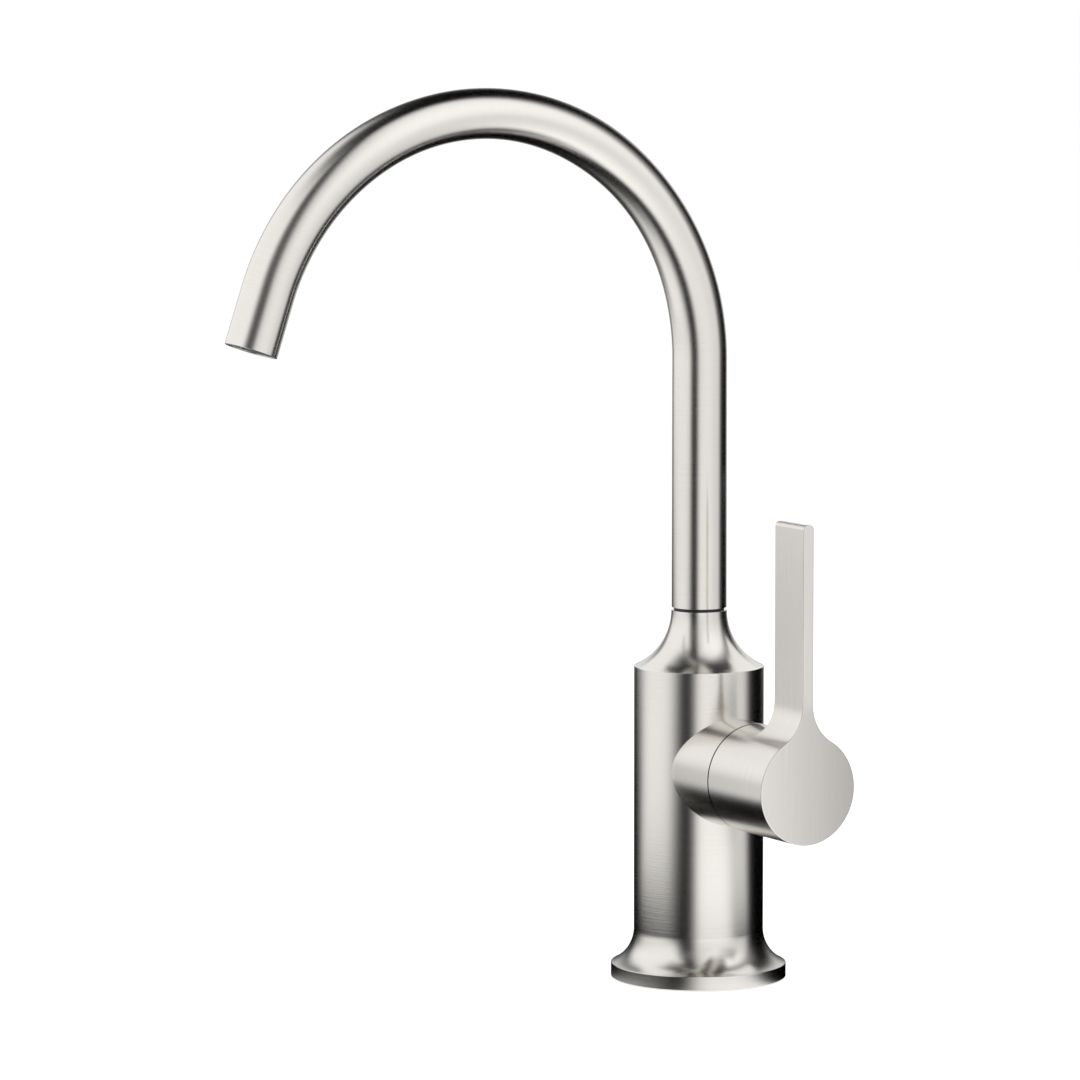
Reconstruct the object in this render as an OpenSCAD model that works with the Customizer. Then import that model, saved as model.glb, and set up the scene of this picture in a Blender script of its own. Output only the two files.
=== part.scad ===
// Single-lever basin mixer with a swivel arch spout and a side lever.
// Millimetres. +Z is up, z = 0 is the top of the basin ledge that the base stands on.
// The origin is the centre of the base. The spout reaches towards -Y, the user's side,
// and the handle's axis points along +X.

/* [Body] */
// Diameter of the upright body
body_d = 44; // [43:0.5:48]
// Diameter of the base rim
base_d = 59.6; // [57:0.2:64]
// Height of the base rim's straight edge
rim_h = 4.9; // [3:0.1:8]
// Radius of the hollow curve from the rim to the body
flare_r = 13; // [11:0.5:18]
// Height of the sharp shoulder under the neck
shoulder_z = 106.8; // [104:0.2:110]
// Height of the neck's top
neck_top_z = 125.9; // [124:0.1:132]
// Diameter of the neck's top
neck_d = 18.2; // [18:0.1:20]
// Small chamfer on the rim's edges
edge_break = 0.4; // [0.2:0.1:1]

/* [Spout] */
// Outside diameter of the spout tube
spout_d = 18; // [17.6:0.1:20]
// Wall of the spout tube
spout_wall = 1; // [0.8:0.1:1.4]
// Radius of the arch's centre line
arch_r = 83.7; // [60:0.1:110]
// Height of the arch's centre
arch_z = 211.4; // [180:0.1:260]
// Angle that the arch turns through
arch_angle = 161.3; // [140:0.1:175]
// Straight run from the arch to the outlet
outlet_run = 19.2; // [16:0.1:40]
// Height of the dark joint between neck and spout
joint_h = 1; // [0.6:0.1:1.6]
// How far the spout swivels to either side
swivel_angle = 60; // [20:5:75]

/* [Spout spigot] */
// Bore of the socket that the spigot turns in
socket_d = 15.2; // [14.8:0.1:15.6]
// Height of the socket's floor
socket_floor_z = 92; // [91:0.5:96]
// Clearance under the spigot
spigot_end_gap = 2; // [1:0.5:3]
// Radial running clearance of the spigot
spigot_clearance = 0.08; // [0.05:0.01:0.1]
// Water bore of the spigot
spigot_bore_d = 9; // [7:0.5:9.5]
// Length of the spigot inside the spout tube
spigot_upper_l = 14; // [8:1:24]
// Thickness of the spigot's O-rings
o_ring_t = 1.8; // [1.4:0.1:2]
// Height of the upper O-ring
o_ring_upper_z = 110.5; // [108:0.5:112]
// Height of the lower O-ring
o_ring_lower_z = 103.5; // [102:0.5:106]
// Height of a plastic glide ring
glide_ring_h = 3; // [2:0.5:4]
// Radial thickness of a plastic glide ring
glide_ring_t = 0.9; // [0.7:0.1:1.2]
// Diameter of the spout's locking screw
lock_screw_d = 4; // [3:0.5:4.5]
// Diameter of the locking screw's dog point
lock_dog_d = 2.6; // [2:0.1:2.8]
// Distance of the locking screw under the neck's top
lock_drop = 9.4; // [8.4:0.2:10.4]

/* [Aerator] */
// Length of the aerator's housing
aerator_l = 11; // [9:0.5:14]
// Wall of the aerator's housing
aerator_wall = 1.2; // [1:0.1:1.6]
// How far the aerator sits inside the outlet
aerator_inset = 0.4; // [0:0.1:2]
// Number of coin slots in the aerator's rim
aerator_slots = 4; // [2:1:8]
// Pitch of the outlet grid
grid_pitch = 1.7; // [1.4:0.1:2.6]
// Width of the outlet grid's ribs
grid_rib = 0.5; // [0.4:0.1:0.8]
// Number of jets in the splitter plate
jet_count = 16; // [8:1:20]

/* [Handle] */
// Height of the handle's axis
handle_z = 73; // [70:0.5:76]
// Diameter of the side branch and the handle
handle_d = 36.4; // [35.6:0.1:40]
// Distance of the seam between branch and handle from the centre
seam_x = 35.4; // [34.5:0.1:37]
// Distance of the handle's round face from the centre
face_x = 69.3; // [66:0.1:76]
// Running gap of the ball-shaped seam
seam_gap = 0.3; // [0.25:0.05:0.5]
// Thickness of the lever bar
lever_t = 4.4; // [4:0.1:7]
// Depth of the lever bar along the handle's axis
lever_depth = 17.2; // [14:0.1:20]
// Height of the lever's tip over the handle's axis
lever_rise = 88; // [60:1:110]
// Radius of the hollow curve from the round face to the bar
lever_blend_r = 15; // [10:0.5:22]
// Corner radius of the lever's tip
lever_tip_r = 1.6; // [0.8:0.1:1.9]
// Wall of the handle's hollow barrel
handle_wall = 3; // [2.5:0.1:3.5]
// Diameter of the plastic insert in the handle
insert_d = 12.8; // [12:0.2:14]
// Wall of the boss round the insert
boss_wall = 3; // [2.5:0.1:3.4]
// Diameter of the handle's grub screw
grub_d = 5; // [4:0.5:5]
// How far the lever tilts outwards to full flow
tilt_angle = 25; // [15:1:25]
// How far the lever turns to either side for temperature
turn_angle = 45; // [30:5:50]

/* [Cartridge] */
// Diameter of the cartridge
cartridge_d = 24.8; // [24.4:0.1:25.2]
// Wall of the cartridge housing
cartridge_wall = 1; // [0.9:0.05:1.1]
// Distance of the lever's tilt pivot from the centre
pivot_x = 25; // [24.6:0.1:25.4]
// Distance of the cartridge housing's top from the centre
housing_top_x = 31; // [30.6:0.1:31.2]
// Diameter of the housing's clamping flange
flange_d = 28.4; // [27:0.2:29]
// Thread diameter of the clamping nut
nut_thread_d = 30; // [29.6:0.1:30.4]
// Diameter of the lever stem
stem_d = 6; // [5.6:0.1:6.2]
// Distance from the pivot to the stem's ball
stem_arm = 9; // [8.6:0.1:9.2]
// Diameter of the stem's ball
stem_ball_d = 4.8; // [4.4:0.1:5]
// Diameter of the pivot pin
pin_d = 3; // [2.4:0.1:3.2]
// Running clearance of pin, rotor and ball
run_clearance = 0.05; // [0.03:0.01:0.08]
// Diameter of the fixed ceramic disc
fixed_disc_d = 21.8; // [21.2:0.1:22]
// Thickness of the fixed ceramic disc
fixed_disc_t = 3.5; // [3:0.1:3.7]
// Diameter of the moving ceramic disc
moving_disc_d = 17.2; // [16.8:0.1:17.4]
// Thickness of the moving ceramic disc
moving_disc_t = 3.1; // [2.8:0.1:3.2]
// Diameter of the water ports
port_d = 5.2; // [4.4:0.1:5.4]

/* [Under the base] */
// Diameter of the recess for the supply hoses
hose_recess_d = 38; // [37:0.5:39]
// Height of the recess for the supply hoses
hose_recess_h = 24; // [16:1:28]
// Core diameter of the M10 x 1 hose threads
hose_thread_d = 9; // [8.6:0.1:9.4]
// Depth of the hose and stud threads
thread_depth = 12; // [8:1:14]
// Distance of the hose threads behind the stud's side, along X
hose_x = -8.5; // [-9:0.1:-8]
// Half the distance between the hose threads
hose_y = 8; // [7.4:0.1:8.6]
// Thickness of the flat base gasket
base_gasket_t = 1.8; // [1.2:0.1:3]
// Outside diameter of the flat base gasket
base_gasket_d = 52; // [46:0.5:54]
// Diameter of the fixing stud
stud_d = 8; // [7:0.5:9]
// Distance of the fixing stud from the centre
stud_x = 11; // [10:0.5:12]
// Thickness of the basin ledge that is clamped
ledge_t = 20; // [10:1:35]
// Outside diameter of the horseshoe clamp
clamp_d = 48; // [46:0.5:52]
// Thickness of the clamp's rubber
clamp_rubber_t = 3; // [2:0.5:5]
// Thickness of the clamp's steel plate
clamp_plate_t = 2; // [1.5:0.5:4]
// Height of the fixing nut
nut_h = 6.5; // [5:0.5:10]
// Width across the fixing nut's flats
nut_flats = 13; // [12:0.5:15]
// Free end of the stud under the nut
stud_tail = 8; // [4:1:40]

/* [Hidden] */

$fn = 96;
// Cuts run this far past the faces that they open
over = 1;
// Radial gap between pieces that are screwed or pushed together
slip = 0.05;
// Gap between faces of moving pieces that don't guide each other
free_gap = 0.3;
// Gap at the end of a sliding or turning piece
end_play = 0.2;

body_r = body_d / 2;
base_r = base_d / 2;
neck_r = neck_d / 2;
spout_r = spout_d / 2;
handle_r = handle_d / 2;
socket_r = socket_d / 2;

// The flare is a hollow arc, tangent to the body, that meets the rim's edge
flare_dx = flare_r - (base_r - body_r);
flare_top_z = rim_h + sqrt(flare_r * flare_r - flare_dx * flare_dx);
// The neck is a hollow arc, tangent to the upright neck, that meets the shoulder's edge
neck_in = body_r - neck_r;
neck_up = neck_top_z - shoulder_z;
neck_arc_r = (neck_in * neck_in + neck_up * neck_up) / (2 * neck_in);

// Spout tube and outlet
spout_base_z = neck_top_z + joint_h;
tube_bore_r = spout_r - spout_wall;

// Spigot
spigot_r = socket_r - spigot_clearance;
spigot_end_z = socket_floor_z + spigot_end_gap;
spigot_bore_r = spigot_bore_d / 2;
o_ring_gap = 0.03;
o_ring_r = socket_r - o_ring_gap - o_ring_t / 2;
o_groove_r = o_ring_r - o_ring_t / 2 - slip;
o_groove_h = o_ring_t + 0.4;
glide_r = socket_r - o_ring_gap;
glide_lower_z = spigot_end_z + 2;
glide_upper_z = neck_top_z - glide_ring_h - 1;
lock_z = neck_top_z - lock_drop;
lock_groove_r = spigot_r - 1.5;
lock_groove_h = lock_dog_d + 0.4;
lock_tip_y = lock_groove_r + end_play;
lock_head_y = socket_r + 0.4;
lock_sink = 0.5;
lock_hex_depth = 1.6;
// Half angle that the dog point takes up in its groove, with a little room at the stop
lock_half_angle = asin((lock_dog_d / 2 + 0.1) / lock_groove_r);
// Radius of the neck's outside at the locking screw's height
lock_neck_r = neck_r + neck_arc_r - sqrt(pow(neck_arc_r, 2) - pow(lock_drop, 2));
joint_ring_r = spout_r - 0.5;
// The outlet run is ground outside and reamed inside for the aerator, after the tube is bent
outlet_ground = 0.02;
outlet_ream = 0.1;
outlet_r = spout_r - outlet_ground;
outlet_bore_r = tube_bore_r + outlet_ream;

// Aerator, measured inwards from the outlet's end face
aerator_r = outlet_bore_r - slip;
aerator_bore_r = aerator_r - aerator_wall;
aerator_lip_r = aerator_bore_r - 0.6;
grid_t = 2;
lip_t = 0.8;
jet_plate_t = 2.5;
jet_plate_wall = 1;
jet_ring_r = aerator_bore_r - 2;
jet_d = 0.9;
regulator_t = 3;
regulator_wall = 1.2;
regulator_hub_r = 1.6;
regulator_holes = 6;
regulator_hole_d = 1.4;
insert_floor_t = 1;
aerator_seal_t = 1.6;
aerator_seal_lip = 0.8;
slot_w = 2;
slot_h = 0.5;

// Ball-shaped seam, round the tilt pivot
ball_r = sqrt(pow(seam_x - pivot_x, 2) + handle_r * handle_r);
ball_bore_r = ball_r + seam_gap;
cap_wall = 1.6;
branch_end_wall = 2;
cap_recess_r = handle_r - branch_end_wall;
cap_base_x = housing_top_x + 0.7;
cap_rim_w = 1.9;
cap_skirt_r = cap_recess_r - cap_rim_w;
stem_r = stem_d / 2;
cap_bore_r = (ball_r - cap_wall / 2) * sin(tilt_angle) + stem_r / cos(tilt_angle) + free_gap;

// Cartridge, measured along the handle's axis from its seat in the body's centre plane
seat_x = 0;
cartridge_r = cartridge_d / 2;
cartridge_bore_r = cartridge_r + 0.1;
housing_in_r = cartridge_r - cartridge_wall;
base_plate_t = 4;
base_nose_t = 2;
flange_t = 2.8;
flange_drop = 10.8;
flange_x = housing_top_x - flange_drop;
flange_r = flange_d / 2;
nut_r = nut_thread_d / 2;
nut_x = flange_x + flange_t;
nut_len = housing_top_x - 1 - nut_x;
nut_notches = 6;
notch_w = 3;
notch_h = 2;
rotor_neck_r = 9.4;
rotor_flange_r = housing_in_r - free_gap;
rotor_step_x = pivot_x - 1.8;
rotor_top_x = housing_top_x + 2.6;
ring_h = 2.4;
ring_out_r = cartridge_r - 0.2;
lug_reach = 1.8;
lug_r = rotor_neck_r + lug_reach;
lug_angle = 9;
lug_h = 1.8;
fixed_disc_x = seat_x + base_plate_t + base_nose_t;
moving_disc_x = fixed_disc_x + fixed_disc_t;
moving_disc_top = moving_disc_x + moving_disc_t;
moving_disc_r = moving_disc_d / 2;
slide_travel = stem_arm * sin(tilt_angle);
carrier_r = housing_in_r - free_gap - slide_travel / 2;
carrier_grip = 1.4;
carrier_drop = 5.8;
carrier_top = pivot_x - carrier_drop;
key_w = 12.4;
key_gap = 0.1;
rotor_foot_x = carrier_top + end_play;
ball_x = pivot_x - stem_arm;
stem_ball_r = stem_ball_d / 2;
socket_play = 0.2;
stem_neck_r = 1.9;
stem_block_r = 4.2;
// The carrier's key ends clear of the stem's hub
key_h = pivot_x - stem_block_r - free_gap - carrier_top;
stem_flat_w = 6;
pin_r = pin_d / 2;
pin_half_l = 8.6;
press_gap = 0.02;

// Ports in the cartridge's foot: two inlets over the axis and one outlet under it
inlet_up = 3;
inlet_side = 6.5;
outlet_down = 4.6;
port_r = port_d / 2;
seal_w = 1.1;
seal_t = 1.2;
disc_seal_t = 1;
// Centre of the upright waterway from the outlet port to the spout's socket
outlet_way_x = -4.5;
// Curved inlet slots and round outlet of the fixed disc, with the angle down from the outlet
slot_in_r = 3.6;
slot_out_r = 6.2;
slot_span = 46;
slot_mid = 130;
slot_chamber_t = 4;
disc_outlet_r = 2.1;
disc_outlet_down = outlet_down - 0.2;
// Land that keeps the moving disc's pocket off the slots while the tap is closed
slot_land = 0.5;
pocket_t = 1.8;
pocket_foot_r = 2.6;
pocket_foot_down = 4;

// Handle
insert_r = insert_d / 2;
insert_x = pivot_x + ball_bore_r + 0.4;
insert_l = 13.4;
square_w = stem_d;
square_x = insert_x + 0.8;
square_l = 11;
boss_r = insert_r + boss_wall;
barrel_in_r = handle_r - handle_wall;
face_t = 9;
barrel_floor_x = face_x - face_t;
grub_inset = 7.5;
grub_x = insert_x + grub_inset;
grub_r = grub_d / 2;
grub_hex_depth = 2.5;
grub_tip = square_w / 2 + slip;
plug_r = grub_r + 0.6;
plug_t = 2.4;
lever_half = lever_t / 2;
// Centre of the hollow blend between the round face and the bar
blend_y = lever_half + lever_blend_r;
blend_z = sqrt(pow(handle_r + lever_blend_r, 2) - blend_y * blend_y);

// Fixing set under the ledge
thread_top_z = hose_recess_h + thread_depth;
clamp_top_z = -ledge_t;
plate_top_z = clamp_top_z - clamp_rubber_t;
nut_top_z = plate_top_z - clamp_plate_t;
stud_end_z = nut_top_z - nut_h - stud_tail;
stud_r = stud_d / 2;
hose_pass_r = 7.4;
hex = 6;

brushed = [0.78, 0.76, 0.72];
rubber = [0.12, 0.12, 0.12];
steel = [0.70, 0.71, 0.72];
brass_yellow = [0.80, 0.68, 0.36];
plastic_white = [0.92, 0.92, 0.90];
plastic_grey = [0.45, 0.46, 0.48];
ceramic = [0.96, 0.95, 0.93];

// Places its children on the handle's axis: their Z runs out along +X, their X points down
module on_handle_axis() {
    translate([0, 0, handle_z]) rotate([0, 90, 0]) children();
}

// Places its children at the arch's centre: the arch starts on their X and turns towards their Y
module in_arch_plane() {
    translate([0, -arch_r, arch_z]) rotate([0, 0, 90]) rotate([90, 0, 0]) children();
}

// Places its children on the outlet's axis: their Z runs up into the spout
module at_outlet() {
    in_arch_plane() rotate([0, 0, arch_angle]) translate([arch_r, outlet_run, 0])
        rotate([90, 0, 0]) children();
}

module tube(outer_r, inner_r, h) {
    difference() {
        cylinder(r = outer_r, h = h);
        translate([0, 0, -over]) cylinder(r = inner_r, h = h + 2 * over);
    }
}

module o_ring(ring_r, section_r) {
    rotate_extrude() translate([ring_r, 0]) circle(r = section_r, $fn = 32);
}

// Half section of the turned body: rim, flare, upright, shoulder and neck
module body_section() {
    difference() {
        square([base_r, flare_top_z]);
        translate([body_r + flare_r, flare_top_z]) circle(r = flare_r);
        polygon([[base_r - edge_break, 0], [base_r, edge_break], [base_r + over, -over]]);
    }
    square([body_r, shoulder_z]);
    difference() {
        translate([0, shoulder_z]) square([body_r, neck_up]);
        translate([neck_r + neck_arc_r, neck_top_z]) circle(r = neck_arc_r);
    }
}

// Half section of the side branch: a cylinder that ends on the seam's ball
module branch_section() {
    square([handle_r, pivot_x]);
    intersection() {
        translate([0, pivot_x]) circle(r = ball_r);
        square([handle_r, pivot_x + ball_r]);
    }
}

module cartridge_seat() {
    translate([0, 0, seat_x]) cylinder(r = cartridge_bore_r, h = pivot_x + ball_r);
    translate([0, 0, flange_x]) cylinder(r = nut_r, h = ball_r + over);
    translate([0, 0, cap_base_x]) cylinder(r = cap_recess_r, h = ball_r + over);
    for (side = [-1, 1]) {
        translate([-inlet_up, side * inlet_side, hose_x]) cylinder(r = port_r, h = -hose_x + over);
    }
    translate([outlet_down, 0, outlet_way_x]) cylinder(r = port_r, h = -outlet_way_x + over);
}

module waterways() {
    for (side = [-1, 1]) {
        translate([hose_x, side * hose_y, hose_recess_h - over])
            cylinder(d = hose_thread_d, h = thread_depth + over);
        translate([hose_x, side * hose_y, thread_top_z - over])
            cylinder(r = port_r, h = handle_z + inlet_up - thread_top_z + over);
    }
    translate([outlet_way_x, 0, handle_z - outlet_down])
        cylinder(r = port_r, h = socket_floor_z - handle_z + outlet_down + over);
}

module body() {
    color(brushed) difference() {
        union() {
            rotate_extrude() body_section();
            on_handle_axis() rotate_extrude() branch_section();
        }
        translate([0, 0, -over]) cylinder(d = hose_recess_d, h = hose_recess_h + over);
        translate([0, 0, -over]) cylinder(r = base_gasket_d / 2 + slip, h = base_gasket_t + over);
        translate([stud_x, 0, hose_recess_h - over])
            cylinder(r = stud_r + slip, h = thread_depth + over);
        on_handle_axis() cartridge_seat();
        waterways();
        translate([0, 0, socket_floor_z]) cylinder(r = socket_r, h = neck_top_z);
        translate([0, 0, lock_z]) rotate([-90, 0, 0])
            cylinder(r = lock_screw_d / 2 + slip, h = body_r);
    }
}

module base_gasket() {
    color(rubber) tube(base_gasket_d / 2, hose_recess_d / 2 + free_gap, base_gasket_t);
}

module fixing_stud() {
    color(steel) translate([stud_x, 0, stud_end_z])
        cylinder(r = stud_r, h = thread_top_z - stud_end_z);
}

// Horseshoe that the hoses pass through, open towards -X
module horseshoe(h) {
    linear_extrude(height = h) difference() {
        circle(d = clamp_d);
        translate([stud_x, 0]) circle(r = stud_r + free_gap);
        for (side = [-1, 1]) {
            translate([hose_x, side * hose_y]) circle(r = hose_pass_r);
        }
        translate([-clamp_d, -hose_y - hose_pass_r])
            square([clamp_d + hose_x, 2 * (hose_y + hose_pass_r)]);
        translate([hose_x, -hose_y]) square([hose_pass_r, 2 * hose_y]);
    }
}

module clamp_rubber() {
    color(rubber) translate([0, 0, plate_top_z]) horseshoe(clamp_rubber_t);
}

module clamp_plate() {
    color(steel) translate([0, 0, nut_top_z]) horseshoe(clamp_plate_t);
}

module fixing_nut() {
    color(steel) translate([stud_x, 0, nut_top_z - nut_h]) difference() {
        cylinder(d = nut_flats / cos(180 / hex), h = nut_h, $fn = hex);
        translate([0, 0, -over]) cylinder(r = stud_r + slip, h = nut_h + 2 * over);
    }
}

// Round bar along the spout's centre line: upright leg, arch and outlet run
module spout_path(r, run_r, past) {
    translate([0, 0, spout_base_z - past]) cylinder(r = r, h = arch_z - spout_base_z + past);
    in_arch_plane() rotate_extrude(angle = arch_angle) translate([arch_r, 0]) circle(r = r);
    at_outlet() translate([0, 0, -past]) cylinder(r = run_r, h = outlet_run + past);
}

module spout_tube() {
    color(brushed) difference() {
        spout_path(spout_r, outlet_r, 0);
        spout_path(tube_bore_r, outlet_bore_r, over);
    }
}

// Half section of the spigot with its ring grooves
module spigot_section() {
    difference() {
        union() {
            translate([spigot_bore_r, spigot_end_z])
                square([spigot_r - spigot_bore_r, spout_base_z - spigot_end_z]);
            translate([spigot_bore_r, spout_base_z])
                square([tube_bore_r - slip - spigot_bore_r, spigot_upper_l]);
        }
        for (z = [o_ring_lower_z, o_ring_upper_z]) {
            translate([o_groove_r, z - o_groove_h / 2]) square([spigot_r, o_groove_h]);
        }
        for (z = [glide_lower_z, glide_upper_z]) {
            translate([glide_r - glide_ring_t - slip, z - slip])
                square([spigot_r, glide_ring_h + 2 * slip]);
        }
    }
}

module spout_spigot() {
    half = swivel_angle + lock_half_angle;
    color(brass_yellow) difference() {
        rotate_extrude() spigot_section();
        translate([0, 0, lock_z - lock_groove_h / 2]) rotate([0, 0, 90 - half])
            rotate_extrude(angle = 2 * half)
                translate([lock_groove_r, 0]) square([spigot_r, lock_groove_h]);
    }
}

module spout_o_rings() {
    color(rubber) for (z = [o_ring_lower_z, o_ring_upper_z]) {
        translate([0, 0, z]) o_ring(o_ring_r, o_ring_t / 2);
    }
}

module spout_glide_rings() {
    color(plastic_white) for (z = [glide_lower_z, glide_upper_z]) {
        translate([0, 0, z]) tube(glide_r, glide_r - glide_ring_t, glide_ring_h);
    }
}

module spout_joint_ring() {
    color(plastic_grey) translate([0, 0, neck_top_z])
        tube(joint_ring_r, spigot_r + slip, joint_h);
}

// Grub screw with a dog point that runs in the spigot's groove and stops the swivel
module spout_locking_screw() {
    head_end = lock_neck_r - lock_sink;
    color(steel) translate([0, 0, lock_z]) rotate([-90, 0, 0]) difference() {
        union() {
            translate([0, 0, lock_tip_y])
                cylinder(d = lock_dog_d, h = head_end - lock_tip_y);
            translate([0, 0, lock_head_y])
                cylinder(d = lock_screw_d, h = head_end - lock_head_y);
        }
        translate([0, 0, head_end - lock_hex_depth])
            cylinder(d = lock_screw_d / 2, h = lock_hex_depth + over, $fn = hex);
    }
}

module aerator_housing() {
    color(plastic_grey) at_outlet() translate([0, 0, aerator_inset]) difference() {
        cylinder(r = aerator_r, h = aerator_l);
        translate([0, 0, lip_t]) cylinder(r = aerator_bore_r, h = aerator_l);
        translate([0, 0, -over]) cylinder(r = aerator_lip_r, h = aerator_l);
        for (i = [0 : aerator_slots - 1]) {
            rotate([0, 0, i * 360 / aerator_slots])
                translate([aerator_lip_r - over, -slot_w / 2, -over])
                    cube([aerator_r, slot_w, slot_h + over]);
        }
    }
}

// Honeycomb-like grid that straightens the jet
module aerator_grid() {
    rows = floor(aerator_lip_r / grid_pitch);
    hole = grid_pitch - grid_rib;
    color(plastic_grey) at_outlet() translate([0, 0, aerator_inset + lip_t])
        linear_extrude(height = grid_t) difference() {
            circle(r = aerator_bore_r - slip);
            for (i = [-rows : rows], j = [-rows : rows]) {
                if (norm([i, j]) * grid_pitch + hole < aerator_lip_r) {
                    translate([i * grid_pitch - hole / 2, j * grid_pitch - hole / 2]) square(hole);
                }
            }
        }
}

module aerator_jet_plate() {
    color(plastic_white) at_outlet()
        translate([0, 0, aerator_inset + lip_t + grid_t]) difference() {
            cylinder(r = aerator_bore_r - slip, h = jet_plate_t);
            translate([0, 0, insert_floor_t])
                cylinder(r = aerator_bore_r - jet_plate_wall, h = jet_plate_t);
            for (i = [0 : jet_count - 1]) {
                rotate([0, 0, i * 360 / jet_count])
                    translate([jet_ring_r, 0, -over]) cylinder(d = jet_d, h = jet_plate_t);
            }
        }
}

module flow_regulator() {
    color([0.25, 0.5, 0.75]) at_outlet()
        translate([0, 0, aerator_inset + lip_t + grid_t + jet_plate_t]) difference() {
            cylinder(r = aerator_bore_r - slip, h = regulator_t);
            translate([0, 0, insert_floor_t])
                tube(aerator_bore_r - regulator_wall, regulator_hub_r, regulator_t);
            for (i = [0 : regulator_holes - 1]) {
                rotate([0, 0, i * 360 / regulator_holes])
                    translate([regulator_hub_r + regulator_hole_d, 0, -over])
                        cylinder(d = regulator_hole_d, h = regulator_t);
            }
        }
}

module aerator_seal() {
    color(rubber) at_outlet()
        translate([0, 0, aerator_inset + aerator_l])
            tube(aerator_r, aerator_bore_r - aerator_seal_lip, aerator_seal_t);
}

module cartridge_housing() {
    color(plastic_white) on_handle_axis() difference() {
        union() {
            translate([0, 0, seat_x + base_plate_t])
                cylinder(r = cartridge_r, h = housing_top_x - seat_x - base_plate_t);
            translate([0, 0, flange_x]) cylinder(r = flange_r, h = flange_t);
        }
        cylinder(r = housing_in_r, h = rotor_step_x + end_play);
        cylinder(r = rotor_neck_r + run_clearance, h = housing_top_x + over);
    }
}

// Repeats its children at the two inlet ports and the outlet port
module at_ports() {
    for (side = [-1, 1]) {
        translate([-inlet_up, side * inlet_side, 0]) children();
    }
    translate([outlet_down, 0, 0]) children();
}

// The two curved inlet slots, each wider by grow on every side
module inlet_slots(grow, h) {
    mean_r = (slot_in_r + slot_out_r) / 2;
    half = slot_span / 2 + grow / mean_r * 180 / PI;
    for (side = [-1, 1]) {
        rotate([0, 0, side * slot_mid - half]) rotate_extrude(angle = 2 * half)
            translate([slot_in_r - grow, 0]) square([slot_out_r - slot_in_r + 2 * grow, h]);
    }
}

module cartridge_base() {
    color(plastic_grey) on_handle_axis() difference() {
        union() {
            translate([0, 0, seat_x]) cylinder(r = cartridge_r, h = base_plate_t);
            translate([0, 0, seat_x]) cylinder(r = housing_in_r - slip, h = fixed_disc_x - seat_x);
        }
        at_ports() translate([0, 0, seat_x - over])
            cylinder(r = port_r, h = fixed_disc_x - seat_x - slot_chamber_t + 2 * over);
        at_ports() translate([0, 0, seat_x - over])
            cylinder(r = port_r + seal_w + slip, h = seal_t + over);
        translate([outlet_down, 0, seat_x]) cylinder(r = port_r, h = fixed_disc_x + over);
        translate([outlet_down, 0, fixed_disc_x - disc_seal_t])
            cylinder(r = port_r + seal_w + slip, h = disc_seal_t + over);
        translate([0, 0, fixed_disc_x - slot_chamber_t]) inlet_slots(0, slot_chamber_t + over);
        translate([0, 0, fixed_disc_x - disc_seal_t]) inlet_slots(seal_w + slip, disc_seal_t + over);
    }
}

module cartridge_seat_seals() {
    color(rubber) on_handle_axis() at_ports() translate([0, 0, seat_x])
        tube(port_r + seal_w, port_r, seal_t);
}

module disc_seals() {
    color(rubber) on_handle_axis() translate([0, 0, fixed_disc_x - disc_seal_t]) {
        translate([outlet_down, 0, 0]) tube(port_r + seal_w, port_r, disc_seal_t);
        difference() {
            inlet_slots(seal_w, disc_seal_t);
            translate([0, 0, -over]) inlet_slots(0, disc_seal_t + 2 * over);
        }
    }
}

// Fixed disc: two curved inlet slots and a round outlet
module fixed_ceramic_disc() {
    color(ceramic) on_handle_axis() translate([0, 0, fixed_disc_x]) difference() {
        cylinder(d = fixed_disc_d, h = fixed_disc_t);
        translate([0, 0, -over]) inlet_slots(0, fixed_disc_t + 2 * over);
        translate([disc_outlet_down, 0, -over])
            cylinder(r = disc_outlet_r, h = fixed_disc_t + 2 * over);
    }
}

// Places the sliding pieces at the closed end of their travel
module at_slide_rest() {
    translate([slide_travel / 2, 0, 0]) children();
}

// Moving disc: as it slides up, a blind pocket in its face joins the slots to the outlet
module moving_ceramic_disc() {
    color(ceramic) on_handle_axis() at_slide_rest()
        translate([0, 0, moving_disc_x]) difference() {
            cylinder(r = moving_disc_r, h = moving_disc_t);
            translate([-slide_travel / 2, 0, -over])
                cylinder(r = slot_in_r - slot_land, h = pocket_t + over);
            translate([-slide_travel / 2, -pocket_foot_r, -over])
                cube([slide_travel / 2 + pocket_foot_down, 2 * pocket_foot_r, pocket_t + over]);
            translate([pocket_foot_down, 0, -over])
                cylinder(r = pocket_foot_r, h = pocket_t + over);
        }
}

// Carrier: grips the moving disc, is keyed to the rotor and holds the stem's ball in a socket
module disc_carrier() {
    bore_r = stem_ball_r + socket_play;
    mouth_h = carrier_top + key_h - ball_x;
    mouth_r = stem_neck_r / cos(tilt_angle) + mouth_h * tan(tilt_angle) + socket_play;
    color(plastic_grey) on_handle_axis() at_slide_rest() difference() {
        union() {
            translate([0, 0, moving_disc_top - carrier_grip])
                cylinder(r = carrier_r, h = carrier_top - moving_disc_top + carrier_grip);
            intersection() {
                cylinder(r = carrier_r, h = carrier_top + key_h);
                translate([-carrier_r, -key_w / 2, carrier_top - over])
                    cube([2 * carrier_r, key_w, key_h + over]);
            }
        }
        translate([0, 0, moving_disc_top - carrier_grip - over])
            cylinder(r = moving_disc_r + slip, h = carrier_grip + over);
        translate([-slide_travel / 2, 0, ball_x - bore_r]) cylinder(r = bore_r, h = carrier_top);
        translate([-slide_travel / 2, 0, ball_x + over])
            cylinder(r1 = bore_r, r2 = mouth_r, h = mouth_h - over);
    }
}

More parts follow.
